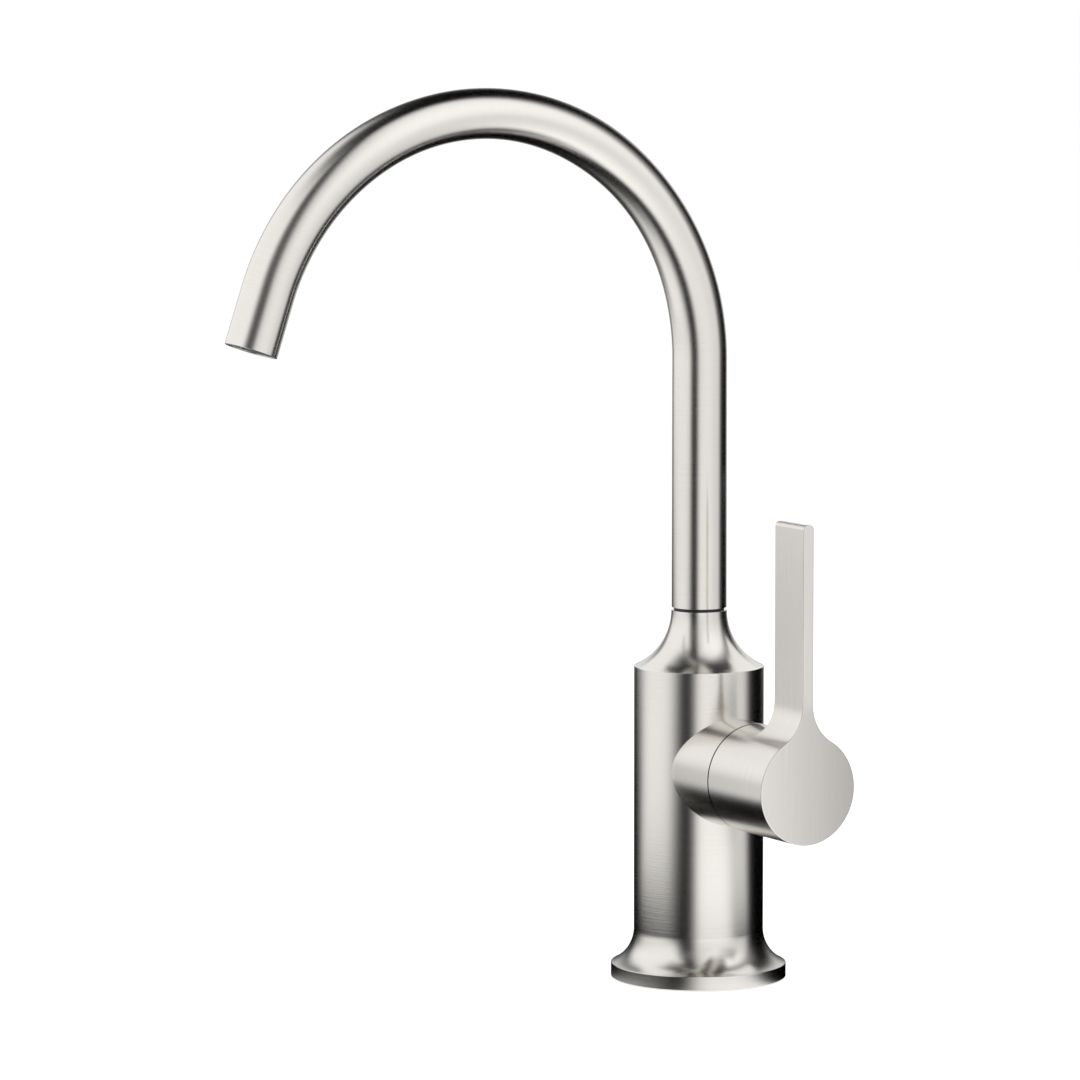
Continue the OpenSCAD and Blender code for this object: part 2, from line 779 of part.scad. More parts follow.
// Half outline of the slot that the stem swings in, in the plane of the tilt
module stem_slot_section() {
    reach = rotor_top_x - pivot_x + over;
    depth = pivot_x - rotor_foot_x;
    half = stem_r + free_gap;
    low = stem_neck_r + free_gap;
    swing = tan(tilt_angle);
    translate([0, pivot_x]) circle(r = stem_block_r + free_gap);
    polygon([[-half, pivot_x], [half / cos(tilt_angle), pivot_x],
        [half / cos(tilt_angle) + reach * swing, pivot_x + reach], [-half, pivot_x + reach]]);
    polygon([[low, pivot_x], [low, pivot_x - depth - over],
        [-low / cos(tilt_angle) - (depth + over) * swing, pivot_x - depth - over],
        [-low / cos(tilt_angle), pivot_x]]);
}

// Rotor: turns with the lever, carries the pivot pin and slides the disc carrier round
module cartridge_rotor() {
    color(plastic_grey) on_handle_axis() difference() {
        union() {
            translate([0, 0, rotor_foot_x])
                cylinder(r = rotor_flange_r, h = rotor_step_x - rotor_foot_x);
            translate([0, 0, rotor_foot_x])
                cylinder(r = rotor_neck_r, h = rotor_top_x - rotor_foot_x);
            translate([0, 0, housing_top_x + free_gap]) rotate([0, 0, 90 - lug_angle])
                rotate_extrude(angle = 2 * lug_angle)
                    translate([rotor_neck_r - over, 0]) square([lug_reach + over, lug_h]);
        }
        translate([-rotor_flange_r - over, -key_w / 2 - key_gap, rotor_foot_x - over])
            cube([2 * (rotor_flange_r + over), key_w + 2 * key_gap, key_h + over]);
        translate([0, stem_flat_w / 2 + free_gap / 2, 0]) rotate([90, 0, 0])
            linear_extrude(height = stem_flat_w + free_gap) stem_slot_section();
        translate([0, -pin_half_l, pivot_x]) rotate([-90, 0, 0])
            cylinder(r = pin_r + press_gap, h = 2 * pin_half_l + over);
    }
}

module pivot_pin() {
    color(steel) on_handle_axis() translate([0, -pin_half_l + slip, pivot_x]) rotate([-90, 0, 0])
        cylinder(r = pin_r, h = 2 * pin_half_l - 2 * slip);
}

// Stem: ball, waisted arm, flat-sided hub round the pin, shaft and driving square
module lever_stem() {
    color(steel) on_handle_axis() difference() {
        union() {
            translate([0, 0, ball_x]) sphere(r = stem_ball_r);
            translate([0, 0, ball_x]) cylinder(r = stem_neck_r, h = stem_arm);
            intersection() {
                translate([0, 0, pivot_x]) sphere(r = stem_block_r);
                translate([-stem_block_r, -stem_flat_w / 2, pivot_x - stem_block_r])
                    cube([2 * stem_block_r, stem_flat_w, 2 * stem_block_r]);
            }
            translate([0, 0, pivot_x]) cylinder(r = stem_r, h = square_x - pivot_x + over);
            translate([-square_w / 2, -square_w / 2, square_x]) cube([square_w, square_w, square_l]);
        }
        translate([0, -stem_block_r, pivot_x]) rotate([-90, 0, 0])
            cylinder(r = pin_r + run_clearance, h = 2 * stem_block_r);
    }
}

// Ring with a curved window: its ends stop the rotor's lug and so limit the temperature
module temperature_limit_ring() {
    half = turn_angle + lug_angle + 1;
    window_r = lug_r + end_play;
    color([0.85, 0.25, 0.2]) on_handle_axis() translate([0, 0, housing_top_x]) difference() {
        tube(ring_out_r, rotor_neck_r + end_play, ring_h);
        translate([0, 0, -over]) rotate([0, 0, 90 - half]) rotate_extrude(angle = 2 * half)
            square([window_r, ring_h + 2 * over]);
    }
}

module cartridge_nut() {
    color(brass_yellow) on_handle_axis() translate([0, 0, nut_x]) difference() {
        tube(nut_r - slip, cartridge_r + slip, nut_len);
        for (i = [0 : nut_notches - 1]) {
            rotate([0, 0, i * 360 / nut_notches])
                translate([cartridge_r - over, -notch_w / 2, nut_len - notch_h])
                    cube([nut_r, notch_w, notch_h + over]);
        }
    }
}

// Cap ring whose outside carries the seam's ball on from the branch
module dome_cap() {
    color(brushed) on_handle_axis() rotate_extrude() difference() {
        intersection() {
            translate([0, pivot_x]) circle(r = ball_r);
            translate([cap_bore_r, cap_base_x]) square([cap_recess_r - slip - cap_bore_r, ball_r]);
        }
        intersection() {
            translate([0, pivot_x]) circle(r = ball_r - cap_wall);
            square([cap_skirt_r, pivot_x + ball_r]);
        }
    }
}

// Outline of the round face and the lever bar, looking along the handle's axis
module lever_outline() {
    circle(r = handle_r);
    difference() {
        translate([-blend_z, -blend_y]) square([blend_z, 2 * blend_y]);
        for (side = [-1, 1]) {
            translate([-blend_z, side * blend_y]) circle(r = lever_blend_r);
        }
        circle_edge_trim();
    }
    translate([-lever_rise + lever_tip_r, -lever_half])
        square([lever_rise - lever_tip_r, lever_t]);
    translate([-lever_rise, -lever_half + lever_tip_r])
        square([lever_rise, lever_t - 2 * lever_tip_r]);
    for (side = [-1, 1]) {
        translate([-lever_rise + lever_tip_r, side * (lever_half - lever_tip_r)])
            circle(r = lever_tip_r, $fn = 48);
    }
}

// Takes away what lies beside the tangent points of the blends
module circle_edge_trim() {
    touch_y = blend_y * handle_r / (handle_r + lever_blend_r);
    for (side = [-1, 1]) {
        translate([-blend_z - over, side > 0 ? touch_y : -touch_y - 2 * blend_y])
            square([blend_z + 2 * over, 2 * blend_y]);
    }
}

module lever_handle() {
    color(brushed) on_handle_axis() difference() {
        union() {
            translate([0, 0, pivot_x]) cylinder(r = handle_r, h = face_x - pivot_x);
            translate([0, 0, face_x - lever_depth])
                linear_extrude(height = lever_depth) lever_outline();
        }
        translate([0, 0, pivot_x]) sphere(r = ball_bore_r);
        translate([0, 0, pivot_x - over]) cylinder(r = handle_r + over, h = over);
        translate([0, 0, pivot_x]) tube(barrel_in_r, boss_r, barrel_floor_x - pivot_x);
        translate([0, 0, pivot_x]) cylinder(r = insert_r + slip, h = insert_x + insert_l - pivot_x);
        translate([0, 0, grub_x]) rotate([0, 90, 0]) cylinder(r = grub_r + slip, h = handle_r + over);
        translate([barrel_in_r - over, 0, grub_x]) rotate([0, 90, 0])
            cylinder(r = plug_r + slip, h = handle_wall + 2 * over);
    }
}

module handle_insert() {
    side = square_w + 2 * slip;
    color(plastic_white) on_handle_axis() difference() {
        translate([0, 0, insert_x]) cylinder(r = insert_r, h = insert_l);
        translate([-side / 2, -side / 2, square_x - slip]) cube([side, side, square_l + 2 * slip]);
        translate([0, 0, insert_x - over])
            cylinder(r = stem_r + slip, h = square_x - insert_x + 2 * over);
        translate([0, 0, grub_x]) rotate([0, 90, 0]) cylinder(r = grub_r + slip, h = insert_r + over);
    }
}

module handle_grub_screw() {
    length = boss_r - grub_tip;
    color(steel) on_handle_axis() translate([grub_tip, 0, grub_x]) rotate([0, 90, 0]) difference() {
        cylinder(r = grub_r, h = length);
        translate([0, 0, length - grub_hex_depth])
            cylinder(r = grub_r / 2, h = grub_hex_depth + over, $fn = hex);
    }
}

module handle_screw_cap() {
    color(brushed) on_handle_axis() intersection() {
        translate([handle_r - plug_t, 0, grub_x]) rotate([0, 90, 0]) cylinder(r = plug_r, h = plug_t);
        cylinder(r = handle_r - slip, h = face_x);
    }
}

body();
base_gasket();
fixing_stud();
clamp_rubber();
clamp_plate();
fixing_nut();
spout_tube();
spout_spigot();
spout_o_rings();
spout_glide_rings();
spout_joint_ring();
spout_locking_screw();
aerator_housing();
aerator_grid();
aerator_jet_plate();
flow_regulator();
aerator_seal();
cartridge_housing();
cartridge_base();
cartridge_seat_seals();
disc_seals();
fixed_ceramic_disc();
moving_ceramic_disc();
disc_carrier();
cartridge_rotor();
pivot_pin();
lever_stem();
temperature_limit_ring();
cartridge_nut();
dome_cap();
lever_handle();
handle_insert();
handle_grub_screw();
handle_screw_cap();
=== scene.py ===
import math

import bmesh
import bpy
import numpy as np
from mathutils import Matrix, Vector


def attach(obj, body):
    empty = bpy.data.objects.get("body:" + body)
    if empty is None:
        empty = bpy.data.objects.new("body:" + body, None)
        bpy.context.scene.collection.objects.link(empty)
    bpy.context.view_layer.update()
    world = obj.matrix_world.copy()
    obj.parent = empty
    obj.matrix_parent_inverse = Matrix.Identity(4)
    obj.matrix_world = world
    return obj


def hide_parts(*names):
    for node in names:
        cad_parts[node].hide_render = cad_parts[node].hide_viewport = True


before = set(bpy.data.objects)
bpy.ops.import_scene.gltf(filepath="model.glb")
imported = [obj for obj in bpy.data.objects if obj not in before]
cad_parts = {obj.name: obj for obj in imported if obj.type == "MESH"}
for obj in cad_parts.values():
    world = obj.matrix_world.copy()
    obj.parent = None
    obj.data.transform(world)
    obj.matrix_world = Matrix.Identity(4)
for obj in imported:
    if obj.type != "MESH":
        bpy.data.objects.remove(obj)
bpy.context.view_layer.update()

MM = 0.001

# Sizes in millimetres. They are those of the CAD source, but for small differences that the
# photo shows in the rim's height, the neck's top, the tube, the outlet and the lever.
BODY_R = 22.0
BASE_R = 29.8
RIM_H = 5.0
RIM_CHAMFER = 0.4
FLARE_R = 13.0
SHOULDER_Z = 106.8
NECK_TOP_Z = 125.9
NECK_R = 9.4
SPOUT_R = 9.3
BORE_R = 8.0
OUTLET_R = 8.83
OUTLET_BORE_R = 8.1
SPOUT_BASE_Z = 126.9
ARCH_R = 83.7
ARCH_Z = 211.4
ARCH_ANGLE = 161.3
OUTLET_RUN = 19.2
HANDLE_Z = 73.0
HANDLE_R = 18.2
PIVOT_X = 25.0
SEAM_X = 35.4
SEAM_GAP = 0.3
FACE_X = 69.3
LEVER_T = 4.0
LEVER_DEPTH = 17.8
LEVER_RISE = 88.0
LEVER_BLEND_R = 15.0
LEVER_ROOT_R = 3.0
LEVER_TIP_R = 1.6
BALL_R = math.hypot(SEAM_X - PIVOT_X, HANDLE_R)
SOCKET_R = BALL_R + SEAM_GAP
CAP_RECESS_R = 16.2
CAP_BASE_X = 31.7

# The body's hollows
HOSE_RECESS_R = 19.0
HOSE_RECESS_H = 24.0
GASKET_SEAT_R = 26.05
GASKET_SEAT_H = 1.8
THREAD_DEPTH = 12.0
STUD_X = 11.0
STUD_BORE_R = 4.05
HOSE_X = -8.5
HOSE_Y = 8.0
HOSE_BORE_R = 4.5
CARTRIDGE_BORE_R = 12.5
NUT_BORE_R = 15.0
NUT_BORE_X = 20.2
WATERWAY_R = 2.6
INLET_PORT_Y = 6.5
INLET_PORT_RISE = 3.0
MIXED_PORT_DROP = 4.6
MIXED_RISER_X = -4.5
SPOUT_SOCKET_R = 7.6
SPOUT_SOCKET_Z = 92.0
LOCK_SCREW_R = 2.05
LOCK_SCREW_Z = 116.5
# Places outside the branch's end and over the neck, where a bore ends in the open
PAST_BRANCH_X = 48.0
PAST_NECK_Z = 130.0

# The handle's hollows. The insert, the grub screw and its plug are placed along the axis from
# the insert's end, and outwards from the axis.
HANDLE_WALL = 3.0
BOSS_R = 9.4
FACE_WALL = 9.0
INSERT_R = 6.45
INSERT_L = 13.4
INSERT_GAP = 0.4
GRUB_R = 2.55
GRUB_RUN = 7.5
PLUG_R = 3.15
PLUG_FLOOR = 14.2
PAST_BARREL = 20.0

# The dome cap
CAP_BORE_R = 12.13
CAP_FIT = 0.05
CAP_WALL = 1.6
CAP_SKIRT_T = 1.85

# Steps round the turned pieces and the spout, and along curves: a rounded edge, the body's
# hollow curves, the arch, the barrel's outline, the lever's tip, and the curve at its root up
# to the bar's back and from there on
AROUND = 144
SPOUT_AROUND = 96
ROUND_STEPS = 5
CURVE_STEPS = 28
ARCH_STEPS = 120
BARREL_STEPS = 60
TIP_STEPS = 10
ROOT_STEPS = 12
BLEND_STEPS = 18

# Distances in metres within which points are welded and short edges dissolved
WELD = 2e-7
SHORT_EDGE = 1e-8


# Meshes: patches of points that bring their own normals and brushing coordinates

class Skin:
    """Patches of points, welded into one mesh. Each point has its surface's exact normal,
    and a stroke: how far it lies along the brushing, and how far across. Points and strokes
    are millimetres here and metres in the mesh."""

    def __init__(self):
        self.points, self.normals, self.strokes, self.faces = [], [], [], []
        self.count = 0

    def _add(self, points, normals, strokes):
        start = self.count
        self.points.append(points.reshape(-1, 3))
        self.normals.append(np.broadcast_to(normals, points.shape).reshape(-1, 3))
        self.strokes.append(strokes.reshape(-1, 2))
        self.count += len(self.points[-1])
        return start

    def patch(self, points, normals, strokes):
        """A grid of points, rows x columns, with a quad between four neighbours."""
        rows, cols = points.shape[:2]
        index = self._add(points, normals, strokes) + np.arange(rows * cols).reshape(rows, cols)
        quads = np.stack([index[:-1, :-1], index[:-1, 1:], index[1:, 1:], index[1:, :-1]], -1)
        i, j = (rows - 1) // 2, (cols - 1) // 2
        facing = np.cross(points[i, j + 1] - points[i, j], points[i + 1, j] - points[i, j])
        if facing @ normals[i, j] < 0:
            quads = quads[:, :, ::-1]
        self.faces.extend(quads.reshape(-1, 4).tolist())

    def flat(self, points, normal, strokes):
        """One flat face with this outline."""
        normal = np.asarray(normal, float)
        start = self._add(points, normal, strokes)
        area = sum(np.cross(a, b) for a, b in zip(points, np.roll(points, -1, 0)))
        order = list(range(start, start + len(points)))
        self.faces.append(order if area @ normal > 0 else order[::-1])

    def build(self, name, inside_out=False):
        """The object. inside_out turns the kept normals, for a solid that cuts a hollow."""
        mesh = bpy.data.meshes.new(name)
        mesh.from_pydata((np.concatenate(self.points) * MM).tolist(), [], self.faces)
        normals = np.concatenate(self.normals) * (-1 if inside_out else 1)
        strokes = np.concatenate(self.strokes) * MM
        corner = np.array([loop.vertex_index for loop in mesh.loops])
        kept = mesh.attributes.new("skin_normal", "FLOAT_VECTOR", "CORNER")
        kept.data.foreach_set("vector", normals[corner].astype(np.float32).ravel())
        brush = mesh.uv_layers.new(name="brush")
        brush.data.foreach_set("uv", strokes[corner].astype(np.float32).ravel())
        weld = bmesh.new()
        weld.from_mesh(mesh)
        bmesh.ops.remove_doubles(weld, verts=weld.verts, dist=WELD)
        bmesh.ops.dissolve_degenerate(weld, edges=weld.edges, dist=SHORT_EDGE)
        weld.to_mesh(mesh)
        weld.free()
        obj = bpy.data.objects.new(name, mesh)
        bpy.context.scene.collection.objects.link(obj)
        return obj


def settle(obj):
    """Gives the finished mesh its kept normals."""
    mesh = obj.data
    normals = np.zeros(len(mesh.loops) * 3, np.float32)
    mesh.attributes["skin_normal"].data.foreach_get("vector", normals)
    normals = normals.reshape(-1, 3)
    normals /= np.maximum(np.linalg.norm(normals, axis=1, keepdims=True), 1e-9)
    mesh.attributes.remove(mesh.attributes["skin_normal"])
    mesh.polygons.foreach_set("use_smooth", [True] * len(mesh.polygons))
    mesh.normals_split_custom_set(normals.tolist())
    return obj


def combine(obj, others, operation):
    """Joins other solids to obj or cuts them out of it, and removes them."""
    for other in others:
        step = obj.modifiers.new("step", "BOOLEAN")
        step.operation = operation
        step.solver = "EXACT"
        step.object = other
    graph = bpy.context.evaluated_depsgraph_get()
    mesh = bpy.data.meshes.new_from_object(obj.evaluated_get(graph))
    obj.modifiers.clear()
    obj.data = mesh
    for other in others:
        bpy.data.objects.remove(other)
    return obj


# Half sections: lists of runs, each an array of (radius, height, normal r, normal h).
# They go round with the solid on their left.

def line(start, end, steps=1):
    """A straight run."""
    t = np.linspace(0, 1, steps + 1)[:, None]
    points = np.array(start) * (1 - t) + np.array(end) * t
    run = np.subtract(end, start) / np.linalg.norm(np.subtract(end, start))
    return np.hstack([points, np.tile([run[1], -run[0]], (len(t), 1))])


def arc(centre, radius, start, end, steps):
    """An arc between two angles in degrees. It is hollow where the angle falls."""
    a = np.radians(np.linspace(start, end, steps + 1))
    way = np.stack([np.cos(a), np.sin(a)], 1)
    return np.hstack([np.array(centre) + radius * way, way * (1 if end > start else -1)])


def angle_to(centre, point):
    """The angle in degrees at which the point lies, seen from the centre."""
    return math.degrees(math.atan2(point[1] - centre[1], point[0] - centre[0]))


UPRIGHT = (np.array([1.0, 0, 0]), np.array([0, 1.0, 0]), np.array([0, 0, 1.0]), np.zeros(3))
ALONG_HANDLE = (np.array([0, 1.0, 0]), np.array([0, 0, 1.0]), np.array([1.0, 0, 0]),
                np.array([0, 0, HANDLE_Z]))


def turn(skin, section, axes, turns=None, seam=90.0):
    """Revolves a half section, closed at the seam's angle in degrees. The brushing runs round
    the axis."""
    e1, e2, axis, origin = axes
    if turns is None:
        turns = np.radians(seam) + np.linspace(0, 2 * np.pi, AROUND + 1)
    way = np.cos(turns)[:, None] * e1 + np.sin(turns)[:, None] * e2
    reach = max(run[:, 0].max() for run in section)
    length = 0.0
    for run in section:
        steps = np.linalg.norm(np.diff(run[:, :2], axis=0), axis=1)
        across = length + np.concatenate([[0], np.cumsum(steps)])
        length = across[-1]
        points = origin + run[:, 0, None, None] * way + run[:, 1, None, None] * axis
        normals = run[:, 2, None, None] * way + run[:, 3, None, None] * axis
        strokes = np.stack(np.broadcast_arrays(turns * reach, across[:, None]), -1)
        skin.patch(points, normals, strokes)


def rod(name, start, end, radius, steps=64):
    """A cylinder that cuts a bore from start to end."""
    start, end = np.array(start, float), np.array(end, float)
    axis = (end - start) / np.linalg.norm(end - start)
    e1 = np.cross(axis, [0, 1, 0] if abs(axis[1]) < 0.9 else [1, 0, 0])
    e1 /= np.linalg.norm(e1)
    length = np.linalg.norm(end - start)
    skin = Skin()
    turn(skin, [line((0, 0), (radius, 0)), line((radius, 0), (radius, length)),
                line((radius, length), (0, length))],
         (e1, np.cross(axis, e1), axis, start), np.linspace(0, 2 * np.pi, steps + 1))
    return skin.build(name, inside_out=True)


# The turned and cast body

def body_section():
    """The turned body. Edge, sharp and lip are the roundings of the rim, of the shoulder and
    of the neck's top."""
    edge, sharp, lip = 0.3, 0.2, 0.06
    flare_c = (BODY_R + FLARE_R,
               RIM_H + math.sqrt(FLARE_R ** 2 - (FLARE_R - BASE_R + BODY_R) ** 2))
    neck_in, neck_up = BODY_R - NECK_R, NECK_TOP_Z - SHOULDER_Z
    neck_arc = (neck_in ** 2 + neck_up ** 2) / (2 * neck_in)
    neck_c = (NECK_R + neck_arc, NECK_TOP_Z)
    rim_c = (BASE_R - edge, flare_c[1] - math.sqrt((FLARE_R + edge) ** 2
                                                  - (flare_c[0] - BASE_R + edge) ** 2))
    brow_c = (BODY_R - sharp, neck_c[1] - math.sqrt((neck_arc + sharp) ** 2
                                                   - (neck_c[0] - BODY_R + sharp) ** 2))
    lip_c = (neck_c[0] - math.sqrt((neck_arc + lip) ** 2 - lip ** 2), NECK_TOP_Z - lip)
    foot_c = (BASE_R - RIM_CHAMFER, RIM_CHAMFER)
    rim_a, brow_a = angle_to(rim_c, flare_c), angle_to(brow_c, neck_c)
    lip_a = angle_to(neck_c, lip_c)
    return [
        line((0, 0), (foot_c[0], 0), 3),
        arc(foot_c, RIM_CHAMFER, -90, 0, ROUND_STEPS),
        line((BASE_R, foot_c[1]), (BASE_R, rim_c[1]), 2),
        arc(rim_c, edge, 0, rim_a, ROUND_STEPS),
        arc(flare_c, FLARE_R, rim_a + 180, 180, CURVE_STEPS),
        line((BODY_R, flare_c[1]), (BODY_R, brow_c[1]), 24),
        arc(brow_c, sharp, 0, brow_a, ROUND_STEPS),
        arc(neck_c, neck_arc, brow_a + 180, lip_a + 360 if lip_a < 0 else lip_a,
            CURVE_STEPS),
        arc(lip_c, lip, lip_a - 180 if lip_a > 0 else lip_a + 180, 90, ROUND_STEPS),
        line((lip_c[0], NECK_TOP_Z), (0, NECK_TOP_Z), 2),
    ]


def branch_section():
    """The side branch with its ball-shaped end, from root_x inside the body. Edge is the
    rounding at the seam."""
    edge, root_x = 0.06, 2.0
    corner_c = (HANDLE_R - edge, PIVOT_X + math.sqrt((BALL_R - edge) ** 2
                                                     - (HANDLE_R - edge) ** 2))
    ball_a = angle_to((0, PIVOT_X), corner_c)
    return [
        line((0, root_x), (HANDLE_R, root_x), 2),
        line((HANDLE_R, root_x), (HANDLE_R, corner_c[1]), 8),
        arc(corner_c, edge, 0, ball_a, ROUND_STEPS),
        arc((0, PIVOT_X), BALL_R, ball_a, 90, 20),
    ]


def body_bores():
    """Start, end and radius of each hollow. One that meets another or the open runs past."""
    past, z = 1.0, HANDLE_Z
    mouth = (PAST_BRANCH_X, 0, z)
    under = HOSE_RECESS_H - past
    thread_z = HOSE_RECESS_H + THREAD_DEPTH
    inlet_z, mixed_z = z + INLET_PORT_RISE, z - MIXED_PORT_DROP
    bores = [
        ((0, 0, -past), (0, 0, HOSE_RECESS_H), HOSE_RECESS_R),
        ((0, 0, -past), (0, 0, GASKET_SEAT_H), GASKET_SEAT_R),
        ((STUD_X, 0, under), (STUD_X, 0, thread_z), STUD_BORE_R),
        ((0, 0, z), mouth, CARTRIDGE_BORE_R),
        ((NUT_BORE_X, 0, z), mouth, NUT_BORE_R),
        ((CAP_BASE_X, 0, z), mouth, CAP_RECESS_R),
    ]
    for y in (HOSE_Y, -HOSE_Y):
        bores.append(((HOSE_X, y, under), (HOSE_X, y, thread_z), HOSE_BORE_R))
    for y in (HOSE_Y, -HOSE_Y):
        bores.append(((HOSE_X, y, thread_z - past), (HOSE_X, y, inlet_z), WATERWAY_R))
    for y in (INLET_PORT_Y, -INLET_PORT_Y):
        bores.append(((HOSE_X, y, inlet_z), (past, y, inlet_z), WATERWAY_R))
    return bores + [
        ((MIXED_RISER_X, 0, mixed_z), (past, 0, mixed_z), WATERWAY_R),
        ((MIXED_RISER_X, 0, mixed_z), (MIXED_RISER_X, 0, SPOUT_SOCKET_Z + past), WATERWAY_R),
        ((0, 0, SPOUT_SOCKET_Z), (0, 0, PAST_NECK_Z), SPOUT_SOCKET_R),
        ((0, 0, LOCK_SCREW_Z), (0, BODY_R, LOCK_SCREW_Z), LOCK_SCREW_R),
    ]


def make_body():
    skin = Skin()
    turn(skin, body_section(), UPRIGHT, seam=150)
    body = skin.build("body_finish")
    skin = Skin()
    turn(skin, branch_section(), ALONG_HANDLE, seam=-60)
    branch = skin.build("branch")
    combine(body, [branch], "UNION")
    bores = [rod(f"bore{i}", *bore) for i, bore in enumerate(body_bores())]
    return combine(body, bores, "DIFFERENCE")


# The bent spout tube

def spout_rings():
    """Rings along the tube: centre, angle along the arch in radians, length from the foot."""
    heights = np.linspace(SPOUT_BASE_Z, ARCH_Z, 9)[:-1]
    rings = [((0, 0, h), 0.0, h - SPOUT_BASE_Z) for h in heights]
    leg = ARCH_Z - SPOUT_BASE_Z
    for a in np.linspace(0, ARCH_ANGLE, ARCH_STEPS + 1):
        t = math.radians(a)
        rings.append(((0, ARCH_R * (math.cos(t) - 1), ARCH_Z + ARCH_R * math.sin(t)), t,
                      leg + ARCH_R * t))
    t = math.radians(ARCH_ANGLE)
    past = np.array([0, -math.sin(t), math.cos(t)])
    last = np.array(rings[-1][0])
    for run in np.linspace(0, OUTLET_RUN, 4)[1:]:
        rings.append((tuple(last + run * past), t, leg + ARCH_R * t + run))
    return rings


# Half the tube's thickness by the angle along the arch in degrees: in the arch's plane, where
# bending has flattened it a little, and across that plane
FLATTENED = [(-20, SPOUT_R), (0, SPOUT_R), (12, 9.25), (24, 8.9), (42, 8.58), (60, 8.74),
             (84, 8.38), (108, 8.4), (126, 8.66), (146, 8.8), (175, OUTLET_R)]
ACROSS = [(-5, SPOUT_R), (25, 9.1), (145, 9.0), (165, OUTLET_R)]
# How far to either side the flattening is averaged, in degrees
FLATTENED_SPAN = 7
# The outlet's wider bore starts at the first ring that is this near the outlet
OUTLET_BORE_L = 13.44


def half_thickness(length):
    """Half the tube's thickness across the arch's plane and in it, at a length along the tube."""
    angle = math.degrees((length - ARCH_Z + SPOUT_BASE_Z) / ARCH_R)
    angles = angle + np.linspace(-FLATTENED_SPAN, FLATTENED_SPAN, 2 * FLATTENED_SPAN + 1)
    return np.interp(angle, *zip(*ACROSS)), np.interp(angles, *zip(*FLATTENED)).mean()


def make_spout():
    """The tube with its bore. Edge is the rounding of its ends, and foot the smaller one where
    the outside meets the joint ring."""
    edge, foot = 0.2, 0.06
    rings = spout_rings()
    total = rings[-1][2]
    lengths = np.array([r[2] for r in rings])
    turns = np.radians(-90) + np.linspace(0, 2 * np.pi, SPOUT_AROUND + 1)
    cos, sin = np.cos(turns)[:, None], np.sin(turns)[:, None]

    def wall(length, inset, normal_r, normal_l):
        """The points and normals of one ring of the wall. A ring of the bore states its radius
        as the inset, and one of the outside how far its rounding lies inside the outside."""
        i = min(int(np.searchsorted(lengths, length, "right")) - 1, len(rings) - 2)
        t = (length - lengths[i]) / (lengths[i + 1] - lengths[i])
        a = rings[i][1] * (1 - t) + rings[i + 1][1] * t
        centre = np.array(rings[i][0]) * (1 - t) + np.array(rings[i + 1][0]) * t
        x_way, out = np.array([1.0, 0, 0]), np.array([0, math.cos(a), math.sin(a)])
        along = np.array([0, -math.sin(a), math.cos(a)])
        if inset > BORE_R / 2:
            way = cos * x_way + sin * out
            return centre + inset * way, normal_r * way + normal_l * along
        rx, ry = (h - inset for h in half_thickness(length))
        before, after = half_thickness(length - 0.5), half_thickness(length + 0.5)
        gx, gy = after[0] - before[0], after[1] - before[1]
        way = cos * x_way / rx + sin * out / ry
        way /= np.linalg.norm(way, axis=1, keepdims=True)
        slope = gx * cos ** 2 + gy * sin ** 2
        normals = normal_r * (way - slope * along) + normal_l * along
        return centre + rx * cos * x_way + ry * sin * out, normals

    def bore_at(length):
        return OUTLET_BORE_R if length > total - OUTLET_BORE_L else BORE_R

    outer = [(s, 0, 1, 0) for s in lengths]
    outer[0] = (foot, 0, 1, 0)
    outer[-1] = (total - edge, 0, 1, 0)
    inner = [(s, bore_at(s), -1, 0) for s in lengths[::-1]]
    inner[0] = (total - edge, OUTLET_BORE_R, -1, 0)
    inner[-1] = (edge, BORE_R, -1, 0)
    ease = np.radians(np.linspace(0, 90, ROUND_STEPS + 1))
    top_out = [(total - edge + edge * math.sin(t), edge - edge * math.cos(t),
                math.cos(t), math.sin(t)) for t in ease]
    top_in = [(total - edge + edge * math.sin(t), OUTLET_BORE_R + edge - edge * math.cos(t),
               -math.cos(t), math.sin(t)) for t in ease[::-1]]
    foot_in = [(edge - edge * math.sin(t), BORE_R + edge - edge * math.cos(t),
                -math.cos(t), -math.sin(t)) for t in ease]
    foot_out = [(foot - foot * math.sin(t), foot - foot * math.cos(t),
                 math.cos(t), -math.sin(t)) for t in ease[::-1]]
    skin = Skin()
    for run in (outer, top_out, [top_out[-1], top_in[0]], top_in, inner,
                foot_in, [foot_in[-1], foot_out[0]], foot_out):
        made = [wall(*ring) for ring in run]
        points = np.stack([m[0] for m in made])
        normals = np.stack([m[1] for m in made])
        across = np.array([r[0] - r[1] * abs(r[3]) for r in run])
        strokes = np.stack(np.broadcast_arrays(turns * SPOUT_R, across[:, None]), -1)
        skin.patch(points, normals, strokes)
    return skin.build("spout_finish")


# The handle: barrel, round face and lever bar

